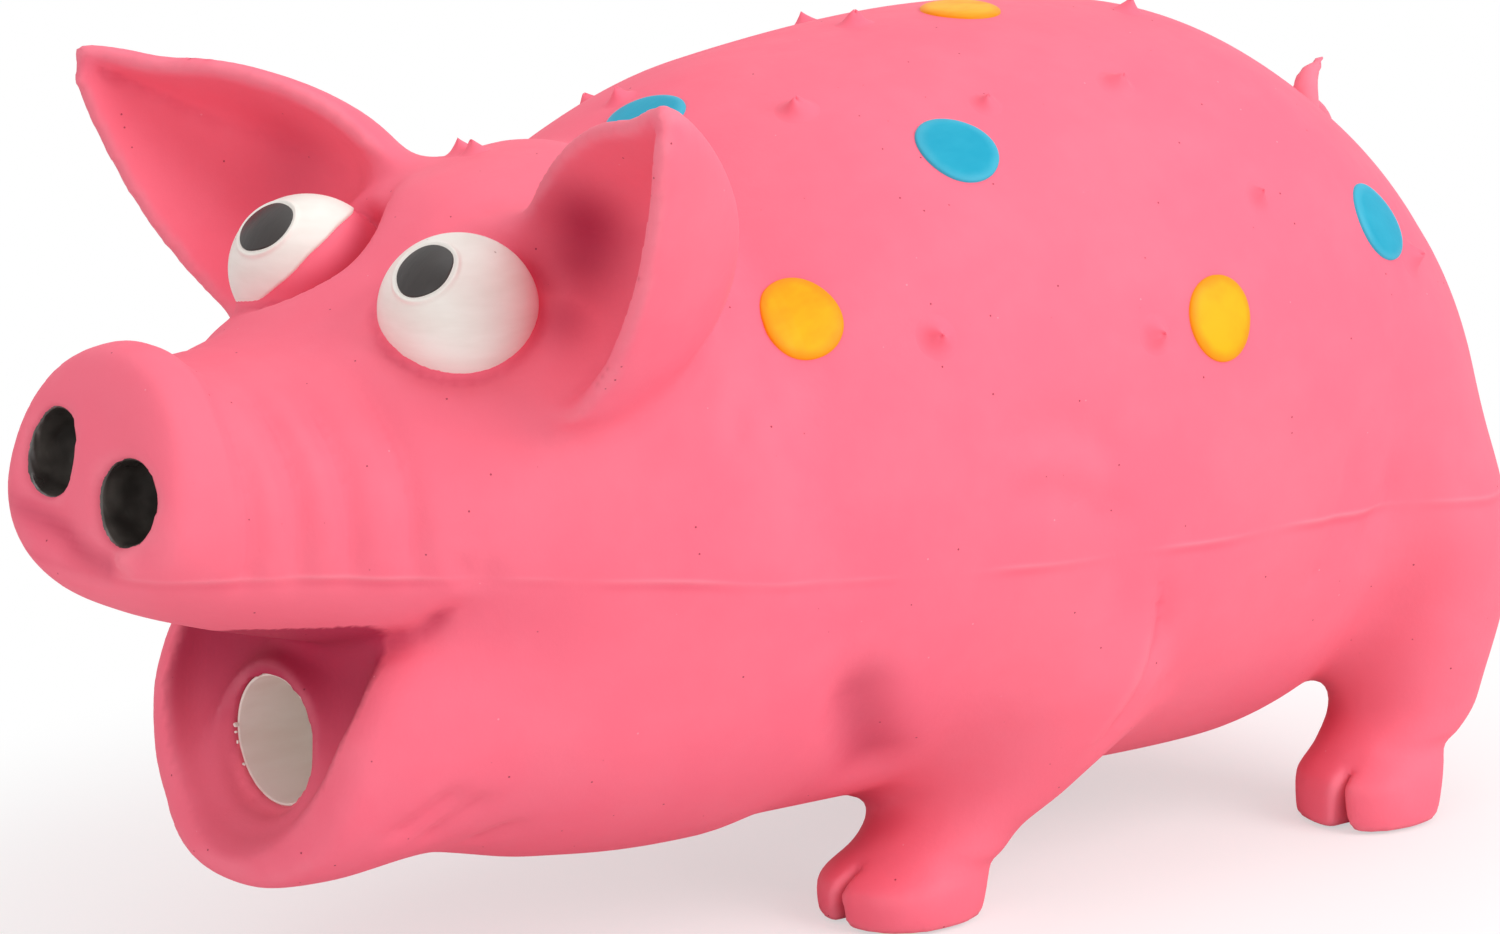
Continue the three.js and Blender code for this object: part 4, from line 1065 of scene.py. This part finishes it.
def black_nostril_paint():
    """Thick glossy black paint that pooled and dried in ripples, paler grey along them as a painted highlight.
    """
    finish = Finish("black_nostril_paint", 0.5, coat_roughness=0.08)
    ripples = finish.noise(170)
    # Paler grey along the ripples: painted highlight on the glossy paint.
    colour = finish.mix(ripples.step(0.35, 0.8), srgb(52, 47, 44), srgb(100, 95, 90))
    height = ripples * 0.0012 + finish.noise(700) * 0.00006
    coat = finish.noise(90, 1).step(0.3, 0.6) * 0.5 + 0.3
    return finish.coated(colour, ripples * 0.15 + 0.22, height, coat_weight=coat)


def dot_paint(name, middle, streak, rim):
    """Satin paint on a raised dot: streaked in the middle, thinner towards the rounded rim."""
    finish = Finish(name, 0.2)
    out = finish.read("rim")
    streaks = finish.noise(110, 3, 0.6, (1, 2, 1))
    colour = finish.mix(streaks.step(0.35, 0.7), middle, streak)
    uneven = finish.noise(260) * 0.22 - 0.11
    colour = finish.mix((out + uneven).step(0.7, 0.98) * 0.8, colour, rim)
    height = streaks * 0.00012 + finish.noise(1100) * 0.00002
    return finish.coated(colour, streaks * 0.2 + 0.38, height)


def moulded_white_plastic():
    """Slightly yellowed white plastic with the fine flow lines of moulding."""
    finish = Finish("moulded_white_plastic", 0.45)
    flow = finish.noise(240, 3, 0.5, (0.3, 1, 1))
    colour = finish.mix(flow.step(0.3, 0.75), srgb(246, 238, 230), srgb(238, 226, 216))
    height = flow * 0.00008 + finish.noise(1600) * 0.00001
    return finish.coated(colour, flow * 0.2 + 0.3, height, 0.5)


def reed_film():
    """Smooth stiff film with fine lines drawn along it."""
    finish = Finish("stiff_reed_film", 0.55)
    lines = finish.noise(900, 2, 0.5, (0.15, 1, 1))
    colour = finish.mix(lines, srgb(224, 216, 196), srgb(206, 196, 172))
    return finish.coated(colour, lines * 0.15 + 0.18, lines * 0.00003, 0.5)


PINK = srgb(255, 114, 138)
PINK_WARM = srgb(255, 119, 140)
PINK_PALE = srgb(255, 129, 150)
PINK_EDGE = srgb(255, 165, 178)
CRIMSON = srgb(205, 35, 75)
PAINTED_SHADE_RED = srgb(172, 42, 74)
SPECK = srgb(140, 34, 56)

pink = matt_pink_latex()
skin = piece("latex_skin", (skin_points, skin_faces), NINE_SHELLS, pink)
# Marks for the skin's painted shade: hollow and edge for hollows and creases, shade for SHADES and the mouth.
skin_hollow, skin_edge = hollows(skin_points)
mark(skin, hollow=skin_hollow, edge=skin_edge, shade=shaded(skin_points))
bumps(pink)
white_paint, black_paint, gloss_black = white_eye_paint(), black_eye_paint(), black_nostril_paint()
for side in SIDES:
    eye_white(side, white_paint)
    pupil(side, black_paint)
    nostril(side, gloss_black)

dot_paints = {
    "blue": dot_paint("blue_dot_paint", srgb(14, 160, 192), srgb(34, 168, 198), srgb(70, 178, 206)),
    "yellow": dot_paint("yellow_dot_paint", srgb(255, 184, 0), srgb(252, 164, 0), srgb(250, 146, 8)),
}
count = {"blue": 0, "yellow": 0}
for colour_name, dot_place, waver in DOTS:
    count[colour_name] += 1
    dot(f"{colour_name}_{count[colour_name]}", dot_place, waver, dot_paints[colour_name])

plastic = moulded_white_plastic()
sleeve(plastic)
crumbs(plastic)
for node, finish in (("reed_block", plastic), ("reed_wedge", plastic), ("reed", reed_film())):
    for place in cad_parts[node].material_slots:
        place.material = finish

scene = bpy.context.scene
scene.view_settings.view_transform = "Standard"

eye_at = bpy.data.cameras.new("camera")
eye_at.lens = 173.83
eye_at.sensor_width = 36
camera = bpy.data.objects.new("camera", eye_at)
camera.matrix_world = Matrix(((0.76604, 0.15550, -0.62369, -0.624694),
                              (-0.64279, 0.18532, -0.74329, -0.743290),
                              (0, 0.97030, 0.24192, 0.301922), (0, 0, 0, 1)))
scene.collection.objects.link(camera)
scene.camera = camera


def softbox(name, place, size, power, target=(0, 0, 0.06)):
    """Square lamp of a size in metres that looks at the middle of the toy."""
    lamp = bpy.data.lights.new(name, "AREA")
    lamp.shape = "RECTANGLE"
    lamp.size = lamp.size_y = size
    lamp.energy = power
    thing = bpy.data.objects.new(name, lamp)
    away = Vector(place) - Vector(target)
    thing.rotation_euler = away.to_track_quat("Z", "Y").to_euler()
    thing.location = place
    scene.collection.objects.link(thing)


softbox("key", (0.45, -0.95, 0.66), 0.8, 7.8)
softbox("top", (0.1, 0.05, 1.15), 0.9, 3.3)
softbox("side", (-0.95, -0.35, 0.35), 0.6, 1.5)


def surroundings():
    """World that lights the toy softly and shows plain white to the camera and in reflections."""
    world = bpy.data.worlds.new("studio")
    world.use_nodes = True
    sky = Nodes(world.node_tree)
    camera_ray, glossy_ray = sky.node("ShaderNodeLightPath", {}, output=("Is Camera Ray", "Is Glossy Ray"))
    soft, white = (sky.node("ShaderNodeBackground", {}, {"Color": (1, 1, 1), "Strength": power})
                   for power in (0.55, 1))
    both = sky.node("ShaderNodeMixShader", {}, [camera_ray.math("MAXIMUM", glossy_ray), soft, white])
    sky.put(sky.tree.nodes["World Output"].inputs["Surface"], both)
    scene.world = world


surroundings()


FLOOR_REACH = 2000


def floor():
    """Pale floor that shows white round the toy but for its shadow, and plain white further out."""
    corners = [(x * FLOOR_REACH, y * FLOOR_REACH, -0.2) for x, y in ((-1, -1), (1, -1), (1, 1), (-1, 1))]
    thing = new_object("floor", corners, [(0, 1, 2, 3)])
    finish = Finish("pale_floor", 0.0, roughness=0.9)
    seen = finish.node("ShaderNodeLightPath", {}, output="Is Camera Ray")
    finish.feed(base_color=finish.mix(seen, (0.8, 0.8, 0.8), (1.0, 1.0, 1.0)))
    x, y, z = finish.split(finish.place)
    far = 0.55 + 0.45 * (((x / 0.17) ** 2 + (y / 0.11) ** 2) ** 0.5).step(0.7, 1.25)
    lit = Value(finish, finish.surface.outputs[0])
    white = finish.node("ShaderNodeEmission", {}, {"Strength": 1})
    both = finish.node("ShaderNodeMixShader", {}, [far * seen, lit, white])
    finish.put(finish.tree.nodes["Material Output"].inputs["Surface"], both)
    thing.data.materials.append(finish.material)


floor()
